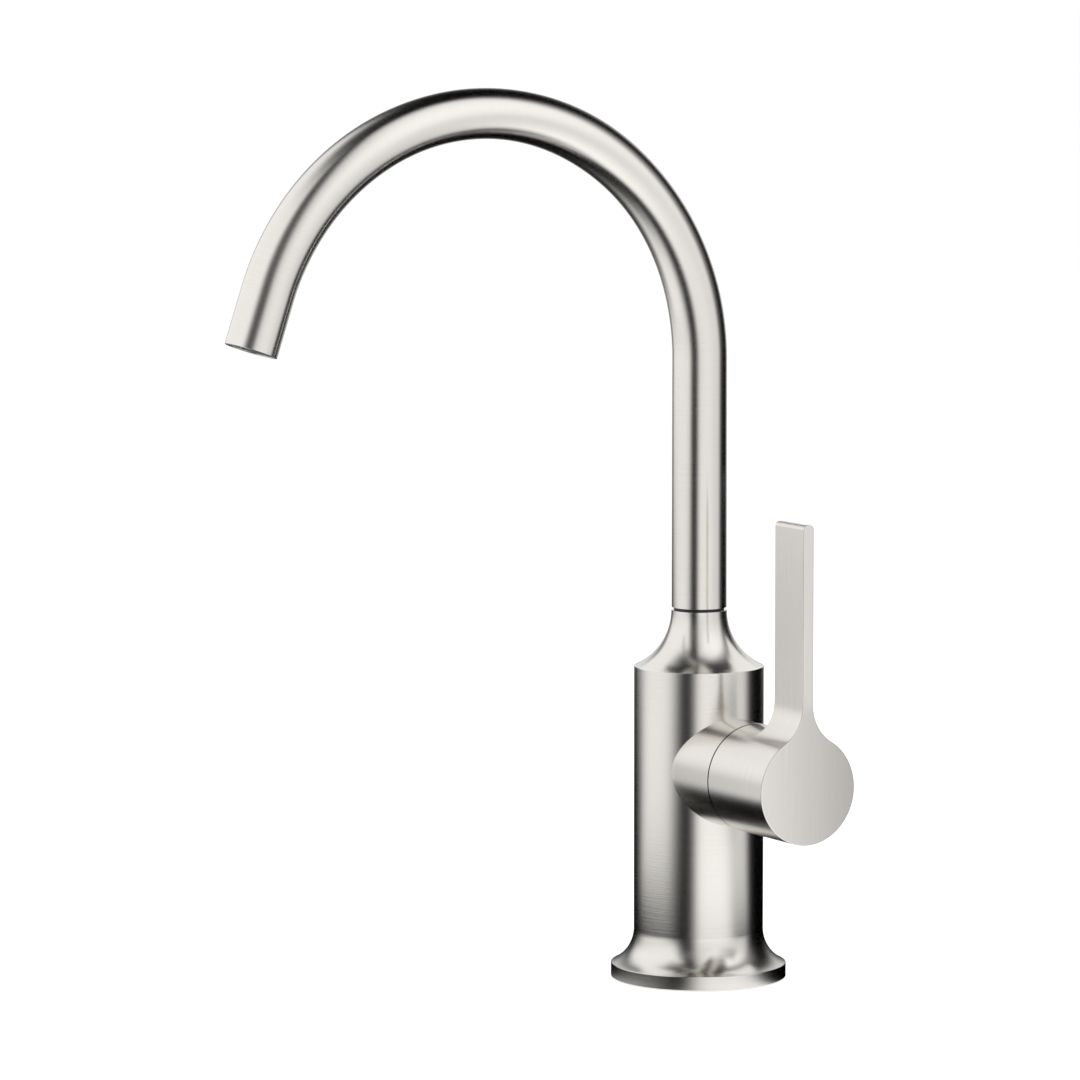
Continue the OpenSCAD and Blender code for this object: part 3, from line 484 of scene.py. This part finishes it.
def lever_outline():
    """The outline seen along the handle's axis: its points as y and height over the axis,
    their normals, the length up to each, and the numbers of the points where the barrel ends
    and where the curve at the bar's back ends."""
    half, top, tip = LEVER_T / 2, LEVER_RISE, LEVER_TIP_R
    far = HANDLE_R + LEVER_BLEND_R
    cy = half + LEVER_BLEND_R
    cz = math.sqrt(far ** 2 - cy ** 2)
    touch = math.degrees(math.atan2(cz, cy))
    root = HANDLE_R + LEVER_ROOT_R
    split = math.degrees(math.acos((far ** 2 + LEVER_BLEND_R ** 2 - root ** 2)
                                   / (2 * far * LEVER_BLEND_R)))
    runs = [
        arc((0, 0), HANDLE_R, -90, touch, BARREL_STEPS),
        arc((cy, cz), LEVER_BLEND_R, 180 + touch, 180 + touch - split, ROOT_STEPS),
        arc((cy, cz), LEVER_BLEND_R, 180 + touch - split, 180, BLEND_STEPS),
        line((half, cz), (half, top - tip), 6),
        arc((half - tip, top - tip), tip, 0, 90, TIP_STEPS),
        line((half - tip, top), (tip - half, top), 2),
        arc((tip - half, top - tip), tip, 90, 180, TIP_STEPS),
        line((-half, top - tip), (-half, cz), 6),
        arc((-cy, cz), LEVER_BLEND_R, 0, split - touch, BLEND_STEPS),
        arc((-cy, cz), LEVER_BLEND_R, split - touch, -touch, ROOT_STEPS),
        arc((0, 0), HANDLE_R, 180 - touch, 270, BARREL_STEPS),
    ]
    points = np.concatenate([r[:-1] for r in runs] + [runs[-1][-1:]])
    steps = np.linalg.norm(np.diff(points[:, :2], axis=0), axis=1)
    length = np.concatenate([[0], np.cumsum(steps)])
    first = len(runs[0]) - 1
    return points[:, :2], points[:, 2:], length, first, first + ROOT_STEPS


def make_handle():
    """The handle. Front, back and socket are the roundings of the face's edge, of the bar's
    back edge, which grows over back_ease from the root, and of the ball socket's rim."""
    front, back, socket, back_ease = 0.35, 0.4, 0.06, 2.0
    flat, out, length, first, root = lever_outline()
    last, root_end = len(flat) - 1 - first, len(flat) - 1 - root
    back_x = FACE_X - LEVER_DEPTH
    above = np.hypot(flat[:, 0], flat[:, 1]) - HANDLE_R
    above[:first + 1] = 0
    above[last:] = 0
    above[[root, root_end]] = LEVER_ROOT_R
    rise = np.minimum(above, LEVER_ROOT_R)
    edge_x = back_x - LEVER_ROOT_R + np.sqrt(np.maximum(
        LEVER_ROOT_R ** 2 - (LEVER_ROOT_R - rise) ** 2, 0))
    soft = (back * np.clip((above - LEVER_ROOT_R) / back_ease, 0, 1))[None]
    skin = Skin()

    def place(yz, x):
        """Points in the part's frame from outline points and distances along the axis."""
        x = np.broadcast_to(x, yz.shape[:-1])
        return np.stack([x, yz[..., 0], yz[..., 1] + HANDLE_Z], -1)

    def normal(way, along):
        along = np.broadcast_to(along, way.shape[:-1])
        return np.stack([along, way[..., 0], way[..., 1]], -1)

    # The side of the plate, with its back edge
    t = np.radians(np.linspace(90, 0, ROUND_STEPS + 1))[:, None]
    rows = flat - out * (soft * (1 - np.cos(t)))[..., None]
    x = edge_x + soft * (1 - np.sin(t))
    skin.patch(place(rows, x), normal(np.cos(t)[..., None] * out, -np.sin(t)),
               np.stack(np.broadcast_arrays(length, x), -1))
    x = np.concatenate([edge_x + soft, np.full_like(soft, FACE_X - front)])
    rows = np.broadcast_to(flat, (2,) + flat.shape)
    skin.patch(place(rows, x), normal(np.broadcast_to(out, rows.shape), 0.0),
               np.stack(np.broadcast_arrays(length, x), -1))
    t = t[::-1]
    rows = flat - out * (front * (1 - np.cos(t)))[..., None]
    x = FACE_X - front * (1 - np.sin(t))
    skin.patch(place(rows, x), normal(np.cos(t)[..., None] * out, np.sin(t)),
               np.stack(np.broadcast_arrays(length, x), -1))
    # The round face and the bar's front
    rim = (flat - out * front)[:-1]
    skin.flat(place(rim, FACE_X), (1, 0, 0), rim[:, ::-1])
    # The hollow curve from the barrel up to the bar's back
    sides = flat[first:root + 1]
    reach = np.hypot(sides[:, 0], sides[:, 1])
    start = np.arctan2(sides[:, 1], sides[:, 0])
    angles = start[:, None] + np.linspace(0, 1, 41) * (np.pi - 2 * start)[:, None]
    ways = np.stack([np.cos(angles), np.sin(angles)], -1)
    x = edge_x[first:root + 1, None]
    lean = (x - back_x + LEVER_ROOT_R) / LEVER_ROOT_R
    skin.patch(place(ways * reach[:, None, None], x),
               normal(ways * np.sqrt(1 - lean ** 2)[..., None], -lean),
               np.stack(np.broadcast_arrays(angles * HANDLE_R, x), -1))
    # The bar's back
    edge = (flat - out * soft[0][:, None])[root:root_end + 1]
    bar = np.concatenate([edge, (ways[-1] * reach[-1])[::-1][1:-1]])
    skin.flat(place(bar, back_x), (-1, 0, 0), bar[:, ::-1])
    # The barrel, from the socket round the ball to the plate
    lip = (HANDLE_R - socket, PIVOT_X + math.sqrt((SOCKET_R + socket) ** 2
                                                  - (HANDLE_R - socket) ** 2))
    lip_a = angle_to((0, PIVOT_X), lip)
    section = [arc((0, PIVOT_X), SOCKET_R, 90, lip_a, 24),
               arc(lip, socket, lip_a + 180, 360, ROUND_STEPS)]
    low = np.concatenate([np.arctan2(flat[last:, 1], flat[last:, 0]) % (2 * np.pi),
                          np.arctan2(flat[1:first + 1, 1], flat[1:first + 1, 0]) + 2 * np.pi])
    turns = np.concatenate([low, angles[0][1:] + 2 * np.pi])
    turn(skin, section, ALONG_HANDLE, turns)
    ways = np.stack([np.cos(turns), np.sin(turns)], 1)
    x = np.linspace(lip[1], back_x - LEVER_ROOT_R, 4)[:, None]
    rows = np.broadcast_to(ways * HANDLE_R, (4,) + ways.shape)
    skin.patch(place(rows, x), normal(np.broadcast_to(ways, rows.shape), 0.0),
               np.stack(np.broadcast_arrays(turns * HANDLE_R, x), -1))
    handle = skin.build("handle_finish")
    return combine(handle, handle_hollows(), "DIFFERENCE")


def handle_hollows():
    """The hollow round the boss, and the bores for the insert, the grub screw and its plug."""
    z, floor_x, hollow_r = HANDLE_Z, FACE_X - FACE_WALL, HANDLE_R - HANDLE_WALL
    skin = Skin()
    turn(skin, [line((BOSS_R, PIVOT_X), (hollow_r, PIVOT_X)),
                line((hollow_r, PIVOT_X), (hollow_r, floor_x)),
                line((hollow_r, floor_x), (BOSS_R, floor_x)),
                line((BOSS_R, floor_x), (BOSS_R, PIVOT_X))], ALONG_HANDLE)
    hollow = skin.build("hollow", inside_out=True)
    insert_x = PIVOT_X + SOCKET_R + INSERT_GAP
    grub_x = insert_x + GRUB_RUN
    low = (grub_x, 0, z - PAST_BARREL)
    return [
        hollow,
        rod("insert_bore", (PIVOT_X, 0, z), (insert_x + INSERT_L, 0, z), INSERT_R),
        rod("grub_bore", (grub_x, 0, z), low, GRUB_R),
        rod("plug_bore", (grub_x, 0, z - PLUG_FLOOR), low, PLUG_R),
    ]


def make_cap():
    """The cap in the branch's end: a ring that carries the ball on, with a skirt."""
    bore, rim, inner = CAP_BORE_R, CAP_RECESS_R - CAP_FIT, BALL_R - CAP_WALL
    skirt = rim - CAP_SKIRT_T

    def on_ball(radius, r):
        """The point of a half section on a ball round the pivot, r from the axis."""
        return (r, PIVOT_X + math.sqrt(radius ** 2 - r ** 2))

    outer_a = angle_to((0, PIVOT_X), on_ball(BALL_R, rim))
    bore_a = angle_to((0, PIVOT_X), on_ball(BALL_R, bore))
    inner_a = angle_to((0, PIVOT_X), on_ball(inner, bore))
    skirt_a = angle_to((0, PIVOT_X), on_ball(inner, skirt))
    skin = Skin()
    turn(skin, [
        line((skirt, CAP_BASE_X), (rim, CAP_BASE_X)),
        line((rim, CAP_BASE_X), on_ball(BALL_R, rim), 2),
        arc((0, PIVOT_X), BALL_R, outer_a, bore_a, 8),
        line(on_ball(BALL_R, bore), on_ball(inner, bore)),
        arc((0, PIVOT_X), inner, inner_a, skirt_a, 4),
        line(on_ball(inner, skirt), (skirt, CAP_BASE_X)),
    ], ALONG_HANDLE)
    return skin.build("cap_finish")


# Materials

class Nodes:
    """Short names for making shader nodes and joining them."""

    def __init__(self, tree):
        self.tree = tree
        tree.nodes.clear()

    def new(self, kind, inputs=None, **settings):
        node = self.tree.nodes.new("ShaderNode" + kind)
        for key, value in settings.items():
            setattr(node, key, value)
        for key, value in (inputs or {}).items():
            if isinstance(value, bpy.types.NodeSocket):
                self.tree.links.new(value, node.inputs[key])
            else:
                node.inputs[key].default_value = value
        return node

    def noise(self, vector, scale, detail=2.0, rough=0.5):
        return self.new("TexNoise", {"Vector": vector, "Scale": scale, "Detail": detail,
                                     "Roughness": rough}).outputs["Fac"]

    def spread(self, fac, low, high):
        """From low to high over the range in which noise mostly stays."""
        return self.new("MapRange", {"Value": fac, "From Min": 0.25, "From Max": 0.75,
                                     "To Min": low, "To Max": high}).outputs["Result"]

    def scaled(self, vector, scale):
        return self.new("Mapping", {"Vector": vector, "Scale": scale}).outputs["Vector"]

    def math(self, operation, a, b):
        return self.new("Math", {0: a, 1: b}, operation=operation).outputs[0]

    def finish(self, shader):
        self.new("OutputMaterial", {"Surface": shader})


# The sockets of a colour's Mix node
MIX_A = 6
MIX_B = 7
MIXED = 2


def tint(nodes, fac, colour, swing):
    """The colour, a little darker and lighter with fac."""
    dark = tuple(c * (1 - swing) for c in colour) + (1,)
    light = tuple(min(c * (1 + swing), 1) for c in colour) + (1,)
    mix = nodes.new("Mix", {"Factor": fac}, data_type="RGBA")
    mix.inputs[MIX_A].default_value = dark
    mix.inputs[MIX_B].default_value = light
    return mix.outputs[MIXED]


def material(name):
    made = bpy.data.materials.new(name)
    made.use_nodes = True
    return made, Nodes(made.node_tree)


NICKEL = (0.775, 0.75, 0.71)
NICKEL_ROUGH = 0.22
PLUG_ROUGH = 0.30
ANISOTROPY = 0.5
QUARTER_TURN = 0.25
# Brushing: noise cells in a metre along and across the strokes, the fine ones' share, how
# deep the strokes are in metres, and how far they change tone and roughness
FINE_ALONG = 60
FINE_ACROSS = 9000
BROAD_ALONG = 25
BROAD_ACROSS = 1700
FINE_SHARE = 0.4
STROKE_DEPTH = 0.00004
STROKE_TINT = 0.07
STROKE_ROUGH = 0.03
# The seam's painted shade: a near-black ring painted on the branch's end, where the gap between
# body and handle is shaded. How far inside the branch's edge it starts and ends, and how far
# back it reaches, in millimetres, and its colour
SEAM_SHADE_START = 0.05
SEAM_SHADE_END = 0.8
SEAM_SHADE_BACK = 0.6
SEAM_SHADE_COLOUR = (0.01, 0.01, 0.01, 1)
# Other finishes: depth of the grain in metres, how far it changes the roughness, and the
# cells of the broad change of tone in a metre
GRAIN_DEPTH = 0.00003
GRAIN_ROUGH = 0.04
CLOUD_SCALE = 60.0


def brushed(name, colour, rough, on_uv=True, shade=None):
    """Brushed metal. Strokes run along the first brushing coordinate, or across X without one.
    Shade says where the colour gives way to the seam's painted shade: a near-black ring painted
    where the gap is shaded."""
    made, n = material(name)
    if on_uv:
        place = n.new("UVMap", uv_map="brush").outputs["UV"]
        fine = n.scaled(place, (FINE_ALONG, FINE_ACROSS, 1))
        broad = n.scaled(place, (BROAD_ALONG, BROAD_ACROSS, 1))
    else:
        place = n.new("TexCoord").outputs["Object"]
        fine = n.scaled(place, (FINE_ACROSS, FINE_ALONG, FINE_ALONG))
        broad = n.scaled(place, (BROAD_ACROSS, BROAD_ALONG, BROAD_ALONG))
    strokes = n.noise(fine, 1.0, detail=3.0, rough=0.6)
    bands = n.noise(broad, 1.0)
    grain = n.math("ADD", n.math("MULTIPLY", strokes, FINE_SHARE),
                   n.math("MULTIPLY", bands, 1 - FINE_SHARE))
    bump = n.new("Bump", {"Height": grain, "Strength": 0.5, "Distance": STROKE_DEPTH})
    colour = tint(n, grain, colour, STROKE_TINT)
    # Painted shade: the colour turns near-black on the ring where the seam's gap is shaded
    if shade:
        mix = n.new("Mix", {"Factor": shade(n)}, data_type="RGBA")
        n.tree.links.new(colour, mix.inputs[MIX_A])
        mix.inputs[MIX_B].default_value = SEAM_SHADE_COLOUR
        colour = mix.outputs[MIXED]
    inputs = {"Base Color": colour, "Metallic": 1.0,
              "Roughness": n.spread(grain, rough - STROKE_ROUGH, rough + STROKE_ROUGH),
              "Normal": bump.outputs["Normal"]}
    if on_uv:
        inputs.update({"Anisotropic": ANISOTROPY, "Anisotropic Rotation": QUARTER_TURN,
                       "Tangent": n.new("Tangent", direction_type="UV_MAP",
                                        uv_map="brush").outputs["Tangent"]})
    n.finish(n.new("BsdfPrincipled", inputs).outputs["BSDF"])
    return made


def painted_seam_shade(n):
    """One on the thin ring of the branch's end that shows in the seam, where shade is painted
    into the colour, nought elsewhere.
    """
    place = n.new("TexCoord").outputs["Object"]
    end = n.new("SeparateXYZ", {"Vector": place}).outputs["X"]
    across = n.new("VectorMath", {0: place, 1: (0, 0, -HANDLE_Z * MM)}, operation="ADD")
    flat = n.new("VectorMath", {0: across.outputs[0], 1: (0, 1, 1)}, operation="MULTIPLY")
    reach = n.new("VectorMath", {0: flat.outputs[0]}, operation="LENGTH").outputs["Value"]
    inside = n.math("LESS_THAN", reach, (HANDLE_R - SEAM_SHADE_START) * MM)
    outside = n.math("GREATER_THAN", reach, (HANDLE_R - SEAM_SHADE_END) * MM)
    past = n.math("GREATER_THAN", end, (SEAM_X - SEAM_SHADE_BACK) * MM)
    return n.math("MULTIPLY", n.math("MULTIPLY", inside, outside), past)


def plain(name, colour, rough, metallic=0.0, scale=900.0, swing=0.03, stretch=(1, 1, 1)):
    """Moulded, machined or fired finish: a fine grain in its tone, gloss and surface."""
    made, n = material(name)
    place = n.new("TexCoord").outputs["Object"]
    grain = n.noise(n.scaled(place, stretch), scale, detail=4.0, rough=0.6)
    cloud = n.noise(place, CLOUD_SCALE, detail=3.0)
    bump = n.new("Bump", {"Height": grain, "Strength": 0.3, "Distance": GRAIN_DEPTH})
    n.finish(n.new("BsdfPrincipled", {
        "Base Color": tint(n, cloud, colour, swing), "Metallic": metallic,
        "Roughness": n.spread(grain, rough - GRAIN_ROUGH, rough + GRAIN_ROUGH),
        "Normal": bump.outputs["Normal"]}).outputs["BSDF"])
    return made


def wear(nodes, mat):
    """Gives the material to the CAD meshes of these nodes."""
    for name in nodes:
        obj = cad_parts[name]
        obj.data.materials.clear()
        obj.data.materials.append(mat)


def put(piece, body, node, mat):
    """A finished piece that stands for a CAD node and rides on its body."""
    piece.data.materials.clear()
    piece.data.materials.append(mat)
    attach(piece, body)
    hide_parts(node)


nickel = brushed("brushed_nickel", NICKEL, NICKEL_ROUGH)
# The body's brushed nickel has shade painted on the ring that shows in the seam's gap
put(settle(make_body()), "mixer_body", "body",
    brushed("brushed_nickel_body_painted_seam_shade", NICKEL, NICKEL_ROUGH, shade=painted_seam_shade))
put(settle(make_spout()), "spout", "spout_tube", nickel)
put(settle(make_handle()), "lever", "lever_handle", nickel)
put(settle(make_cap()), "mixer_body", "dome_cap", nickel)

wear(["handle_screw_cap"], brushed("brushed_nickel_plug", NICKEL, PLUG_ROUGH, on_uv=False))
wear(["base_gasket", "clamp_rubber", "spout_o_rings", "aerator_seal", "cartridge_seat_seals",
      "disc_seals"], plain("black_rubber", (0.012, 0.012, 0.013), 0.62, scale=1500))
wear(["fixing_stud", "clamp_plate", "fixing_nut"],
     plain("zinc_steel", (0.62, 0.64, 0.66), 0.38, metallic=1.0, swing=0.08))
wear(["spout_locking_screw", "pivot_pin", "lever_stem", "handle_grub_screw"],
     plain("stainless_steel", (0.60, 0.60, 0.59), 0.28, metallic=1.0))
wear(["spout_spigot", "cartridge_nut"],
     plain("bare_brass", (0.80, 0.62, 0.29), 0.27, metallic=1.0, stretch=(1, 1, 8)))
wear(["spout_joint_ring"], plain("dark_plastic", (0.012, 0.012, 0.012), 0.45))
wear(["aerator_housing", "aerator_grid", "cartridge_base", "disc_carrier", "cartridge_rotor"],
     plain("grey_plastic", (0.16, 0.165, 0.175), 0.42))
wear(["aerator_jet_plate", "spout_glide_rings", "cartridge_housing", "handle_insert"],
     plain("white_plastic", (0.80, 0.80, 0.78), 0.38))
wear(["flow_regulator"], plain("blue_plastic", (0.04, 0.17, 0.42), 0.40))
wear(["temperature_limit_ring"], plain("red_plastic", (0.55, 0.045, 0.03), 0.40))
wear(["fixed_ceramic_disc", "moving_ceramic_disc"],
     plain("white_ceramic", (0.86, 0.85, 0.82), 0.14, scale=300, swing=0.01))


# Studio

# The camera, in degrees, metres and millimetres of lens
CAM_AZ = 60.413
CAM_PITCH = -6.257
CAM_ROLL = -0.044
CAM_PLACE = (1.62356, -0.98381, 0.3577)
CAM_LENS = 187.97

# The white world: as the tap's light and as what the camera sees
WORLD_LIGHT = 0.75
WORLD_SEEN = 1.0

# The floor: its radius, how far it lies under the base's level, its glow and its tone where
# it is seen, and its tone as a source of bounced light
FLOOR_R = 30.0
FLOOR_DROP = 0.0001
FLOOR_GLOW = 0.8
FLOOR_SEEN = 0.28
FLOOR_LIT = 0.8

# The light tent in metres: its radius, its height, how far its own floor lies over the
# ground, and the height its elevations are seen from. Its grid in degrees.
TENT_R = 0.5
TENT_TOP = 3.0
TENT_FLOOR = 0.0005
TENT_EYE = 0.15
TENT_LOWEST = -86
TENT_RISE_STEP = 2
TENT_TURN_STEP = 5.0
# Level, azimuth, width, edge softness, elevation, height, edge softness
SOFT_BOXES = [
    (1.08, -89, 102, 3, 26, 66, 4),  # the wall at the left
    (0.30, -75, 66, 5, -14, 8, 3),  # the duller band under it
    (1.00, -84, 72, 6, -24, 27, 4),  # the outer floor at the left
    (0.80, 42, 98, 3, 15, 128, 3),  # the wall and the outer floor at the right
    (0.42, 61, 96, 5, 46, 56, 8),  # its brighter upper part
    (0.95, 24, 60, 4, -73, 80, 18),  # the inner floor at the right
    (0.30, 26, 52, 5, -78, 14, 4),  # its brighter part near the base
    (0.12, -22, 36, 6, 28, 30, 6),  # the dim wall beside the camera
    (0.95, 176, 54, 4, 13, 37, 4),  # the wall behind
    (0.56, -58, 45, 7, -79, 4, 2),  # a strip on the floor at the left
]

# The shoulder card: its turn from the camera in degrees, its radii and height in metres
SHOULDER_TURN = range(105, 256, 10)
SHOULDER_RADII = (0.05, 0.16)
SHOULDER_CARD_Z = 0.175
SHOULDER_GLOW = 1.05

# The face card in degrees and metres: which way it lies from the handle's face and how far,
# half its height, and its glow by the distance to the side
FACE_CARD_AZ = 59
FACE_CARD_SLOPE = -0.11
FACE_CARD_RUN = 0.04
FACE_CARD_HALF = 0.026
FACE_CARD_GLOW = [(-0.04, 1.08), (-0.02, 1.04), (0.02, 0.54), (0.04, 0.50)]

# The lamps: name, turn from the camera and elevation in degrees, and power in watts. Each is
# LAMP_DISTANCE metres from the tap's axis at the height LAMP_EYE, and LAMP_SIZE metres wide.
LAMPS = [("key", 60, 45, 30), ("fill", -70, 35, 25)]
LAMP_EYE = 0.12
LAMP_DISTANCE = 2.0
LAMP_SIZE = 1.5


def grey(tone):
    return (tone, tone, tone, 1)


def background_ray(n):
    """One for camera, glossy and transmission rays, which show what they meet in the picture,
    and nought for those that light."""
    path = n.new("LightPath").outputs
    seen = n.math("MAXIMUM", path["Is Camera Ray"], path["Is Glossy Ray"])
    return n.math("MAXIMUM", seen, path["Is Transmission Ray"])


def make_world():
    world = bpy.data.worlds.new("studio")
    bpy.context.scene.world = world
    world.use_nodes = True
    n = Nodes(world.node_tree)
    strength = n.new("MapRange", {"Value": background_ray(n), "To Min": WORLD_LIGHT,
                                  "To Max": WORLD_SEEN})
    back = n.new("Background", {"Color": grey(1), "Strength": strength.outputs["Result"]})
    n.new("OutputWorld", {"Surface": back.outputs["Background"]})
    world.cycles.sampling_method = "NONE"


def make_floor():
    made, n = material("pale_floor")
    glow = n.new("Emission", {"Color": grey(1), "Strength": FLOOR_GLOW}).outputs["Emission"]
    thin = n.new("BsdfDiffuse", {"Color": grey(FLOOR_SEEN)}).outputs["BSDF"]
    seen = n.new("AddShader", {0: glow, 1: thin}).outputs["Shader"]
    lit = n.new("BsdfDiffuse", {"Color": grey(FLOOR_LIT)}).outputs["BSDF"]
    n.finish(n.new("MixShader", {0: background_ray(n), 1: lit, 2: seen}).outputs["Shader"])
    made.cycles.emission_sampling = "NONE"
    mesh = bpy.data.meshes.new("floor")
    bm = bmesh.new()
    bmesh.ops.create_circle(bm, cap_ends=True, radius=FLOOR_R, segments=96)
    bm.to_mesh(mesh)
    bm.free()
    floor = bpy.data.objects.new("floor", mesh)
    floor.location.z = -FLOOR_DROP
    bpy.context.scene.collection.objects.link(floor)
    mesh.materials.append(made)


def soft_step(distance, softness):
    """From nought outside an edge to one inside it, and a half on it."""
    return 1 / (1 + np.exp(-np.clip(distance / softness, -30, 30)))


def soft_box(azimuths, elevations, level, azimuth, width, width_soft, elevation, height,
             height_soft):
    """How bright one soft box is at each direction. Azimuths count from the camera, to its
    right. All angles are in degrees, as seen from half way up the tap."""
    off = np.abs((azimuths - azimuth + 180) % 360 - 180)
    up = np.abs(elevations - elevation)
    beside = soft_step(width / 2 - off, width_soft)
    return level * beside * soft_step(height / 2 - up, height_soft)


def make_tent():
    """A round light tent that only reflections see: floor, wall and ceiling."""
    elevations = np.arange(TENT_LOWEST, 90 + TENT_RISE_STEP / 2, TENT_RISE_STEP)
    azimuths = np.arange(0, 360, TENT_TURN_STEP)
    points, faces = [], []
    levels = sum(soft_box(azimuths[None], elevations[:, None], *box) for box in SOFT_BOXES)
    for elevation in np.radians(elevations):
        slope = math.tan(elevation)
        radius = min(TENT_R, -TENT_EYE / slope if slope < 0 else TENT_R)
        radius = min(radius, (TENT_TOP - TENT_EYE) / max(slope, 1e-6))
        height = min(max(TENT_EYE + radius * slope, TENT_FLOOR), TENT_TOP)
        for a in np.radians(azimuths + CAM_AZ):
            points.append((radius * math.sin(a), -radius * math.cos(a), height))
    cols = len(azimuths)
    for row in range(len(elevations) - 1):
        for i in range(cols):
            j = (i + 1) % cols
            faces.append([row * cols + i, row * cols + j, (row + 1) * cols + j,
                          (row + 1) * cols + i])
    mesh = bpy.data.meshes.new("tent")
    mesh.from_pydata(points, [], faces)
    mesh.attributes.new("glow", "FLOAT", "POINT").data.foreach_set(
        "value", np.maximum(levels, 0).astype(np.float32).ravel())
    made, n = material("tent_glow")
    glow = n.new("Attribute", attribute_name="glow").outputs["Fac"]
    n.finish(n.new("Emission", {"Color": grey(1), "Strength": glow}).outputs["Emission"])
    made.cycles.emission_sampling = "NONE"
    mesh.materials.append(made)
    tent = bpy.data.objects.new("tent", mesh)
    bpy.context.scene.collection.objects.link(tent)
    only_reflected(tent)


def only_reflected(obj):
    """Hides a stage object from all but glossy rays."""
    obj.visible_camera = obj.visible_diffuse = obj.visible_shadow = False
    obj.visible_transmission = obj.visible_volume_scatter = False


def make_card(name, points, faces, glow):
    """A card that glows on its front, by point, and lets rays from behind through."""
    mesh = bpy.data.meshes.new(name)
    mesh.from_pydata([tuple(p) for p in points], [], faces)
    mesh.attributes.new("glow", "FLOAT", "POINT").data.foreach_set(
        "value", np.asarray(glow, np.float32))
    made, n = material(name + "_glow")
    level = n.new("Attribute", attribute_name="glow").outputs["Fac"]
    front = n.new("Emission", {"Color": grey(1), "Strength": level}).outputs["Emission"]
    back = n.new("BsdfTransparent").outputs["BSDF"]
    mix = n.new("MixShader", {"Fac": n.new("NewGeometry").outputs["Backfacing"]})
    n.tree.links.new(front, mix.inputs[1])
    n.tree.links.new(back, mix.inputs[2])
    n.finish(mix.outputs["Shader"])
    made.cycles.emission_sampling = "NONE"
    mesh.materials.append(made)
    card = bpy.data.objects.new(name, mesh)
    bpy.context.scene.collection.objects.link(card)
    only_reflected(card)


def make_shoulder_card():
    """A level card behind the neck, facing down: it brightens the sloped rings only."""
    points = []
    angles = [math.radians(CAM_AZ + a) for a in SHOULDER_TURN]
    for a in angles:
        for r in SHOULDER_RADII:
            points.append((r * math.sin(a), -r * math.cos(a), SHOULDER_CARD_Z))
    faces = [[2 * i, 2 * i + 2, 2 * i + 3, 2 * i + 1] for i in range(len(angles) - 1)]
    make_card("shoulder_card", points, faces, [SHOULDER_GLOW] * len(points))


def make_face_card():
    """A card in front of the handle's face, duller to its right."""
    a = math.radians(CAM_AZ + FACE_CARD_AZ)
    way = np.array([math.sin(a), -math.cos(a), FACE_CARD_SLOPE])
    side = np.array([math.cos(a), math.sin(a), 0.0])
    middle = np.array([FACE_X * MM, 0, HANDLE_Z * MM]) + FACE_CARD_RUN * way
    points, glow = [], []
    for s, level in FACE_CARD_GLOW:
        for h in (-FACE_CARD_HALF, FACE_CARD_HALF):
            points.append(middle + s * side + np.array([0, 0, h]))
            glow.append(level)
    faces = [[2 * i, 2 * i + 1, 2 * i + 3, 2 * i + 2] for i in range(len(FACE_CARD_GLOW) - 1)]
    make_card("face_card", points, faces, glow)


def make_lamp(name, azimuth, elevation, power):
    """A round lamp that lights but isn't seen, turned towards the tap's axis."""
    a, e = math.radians(CAM_AZ + azimuth), math.radians(elevation)
    way = Vector((math.sin(a) * math.cos(e), -math.cos(a) * math.cos(e), math.sin(e)))
    light = bpy.data.lights.new(name, "AREA")
    light.shape = "DISK"
    light.size = LAMP_SIZE
    light.energy = power
    lamp = bpy.data.objects.new(name, light)
    lamp.location = way * LAMP_DISTANCE + Vector((0, 0, LAMP_EYE))
    lamp.rotation_mode = "QUATERNION"
    lamp.rotation_quaternion = way.to_track_quat("Z", "Y")
    lamp.visible_camera = lamp.visible_glossy = lamp.visible_transmission = False
    bpy.context.scene.collection.objects.link(lamp)


def make_camera():
    a, p, r = (math.radians(v) for v in (CAM_AZ, CAM_PITCH, CAM_ROLL))
    forward = Vector((-math.sin(a) * math.cos(p), math.cos(a) * math.cos(p), math.sin(p)))
    right = Vector((math.cos(a), math.sin(a), 0))
    up = right.cross(forward)
    right, up = right * math.cos(r) + up * math.sin(r), up * math.cos(r) - right * math.sin(r)
    data = bpy.data.cameras.new("camera")
    data.lens = CAM_LENS
    data.sensor_width = 36.0
    data.clip_end = 200.0
    camera = bpy.data.objects.new("camera", data)
    turned = Matrix((right, up, -forward)).transposed().to_4x4()
    camera.matrix_world = Matrix.Translation(CAM_PLACE) @ turned
    bpy.context.scene.collection.objects.link(camera)
    bpy.context.scene.camera = camera


make_world()
make_floor()
make_tent()
make_shoulder_card()
make_face_card()
for lamp in LAMPS:
    make_lamp(*lamp)
make_camera()

bpy.context.scene.view_settings.view_transform = "Standard"
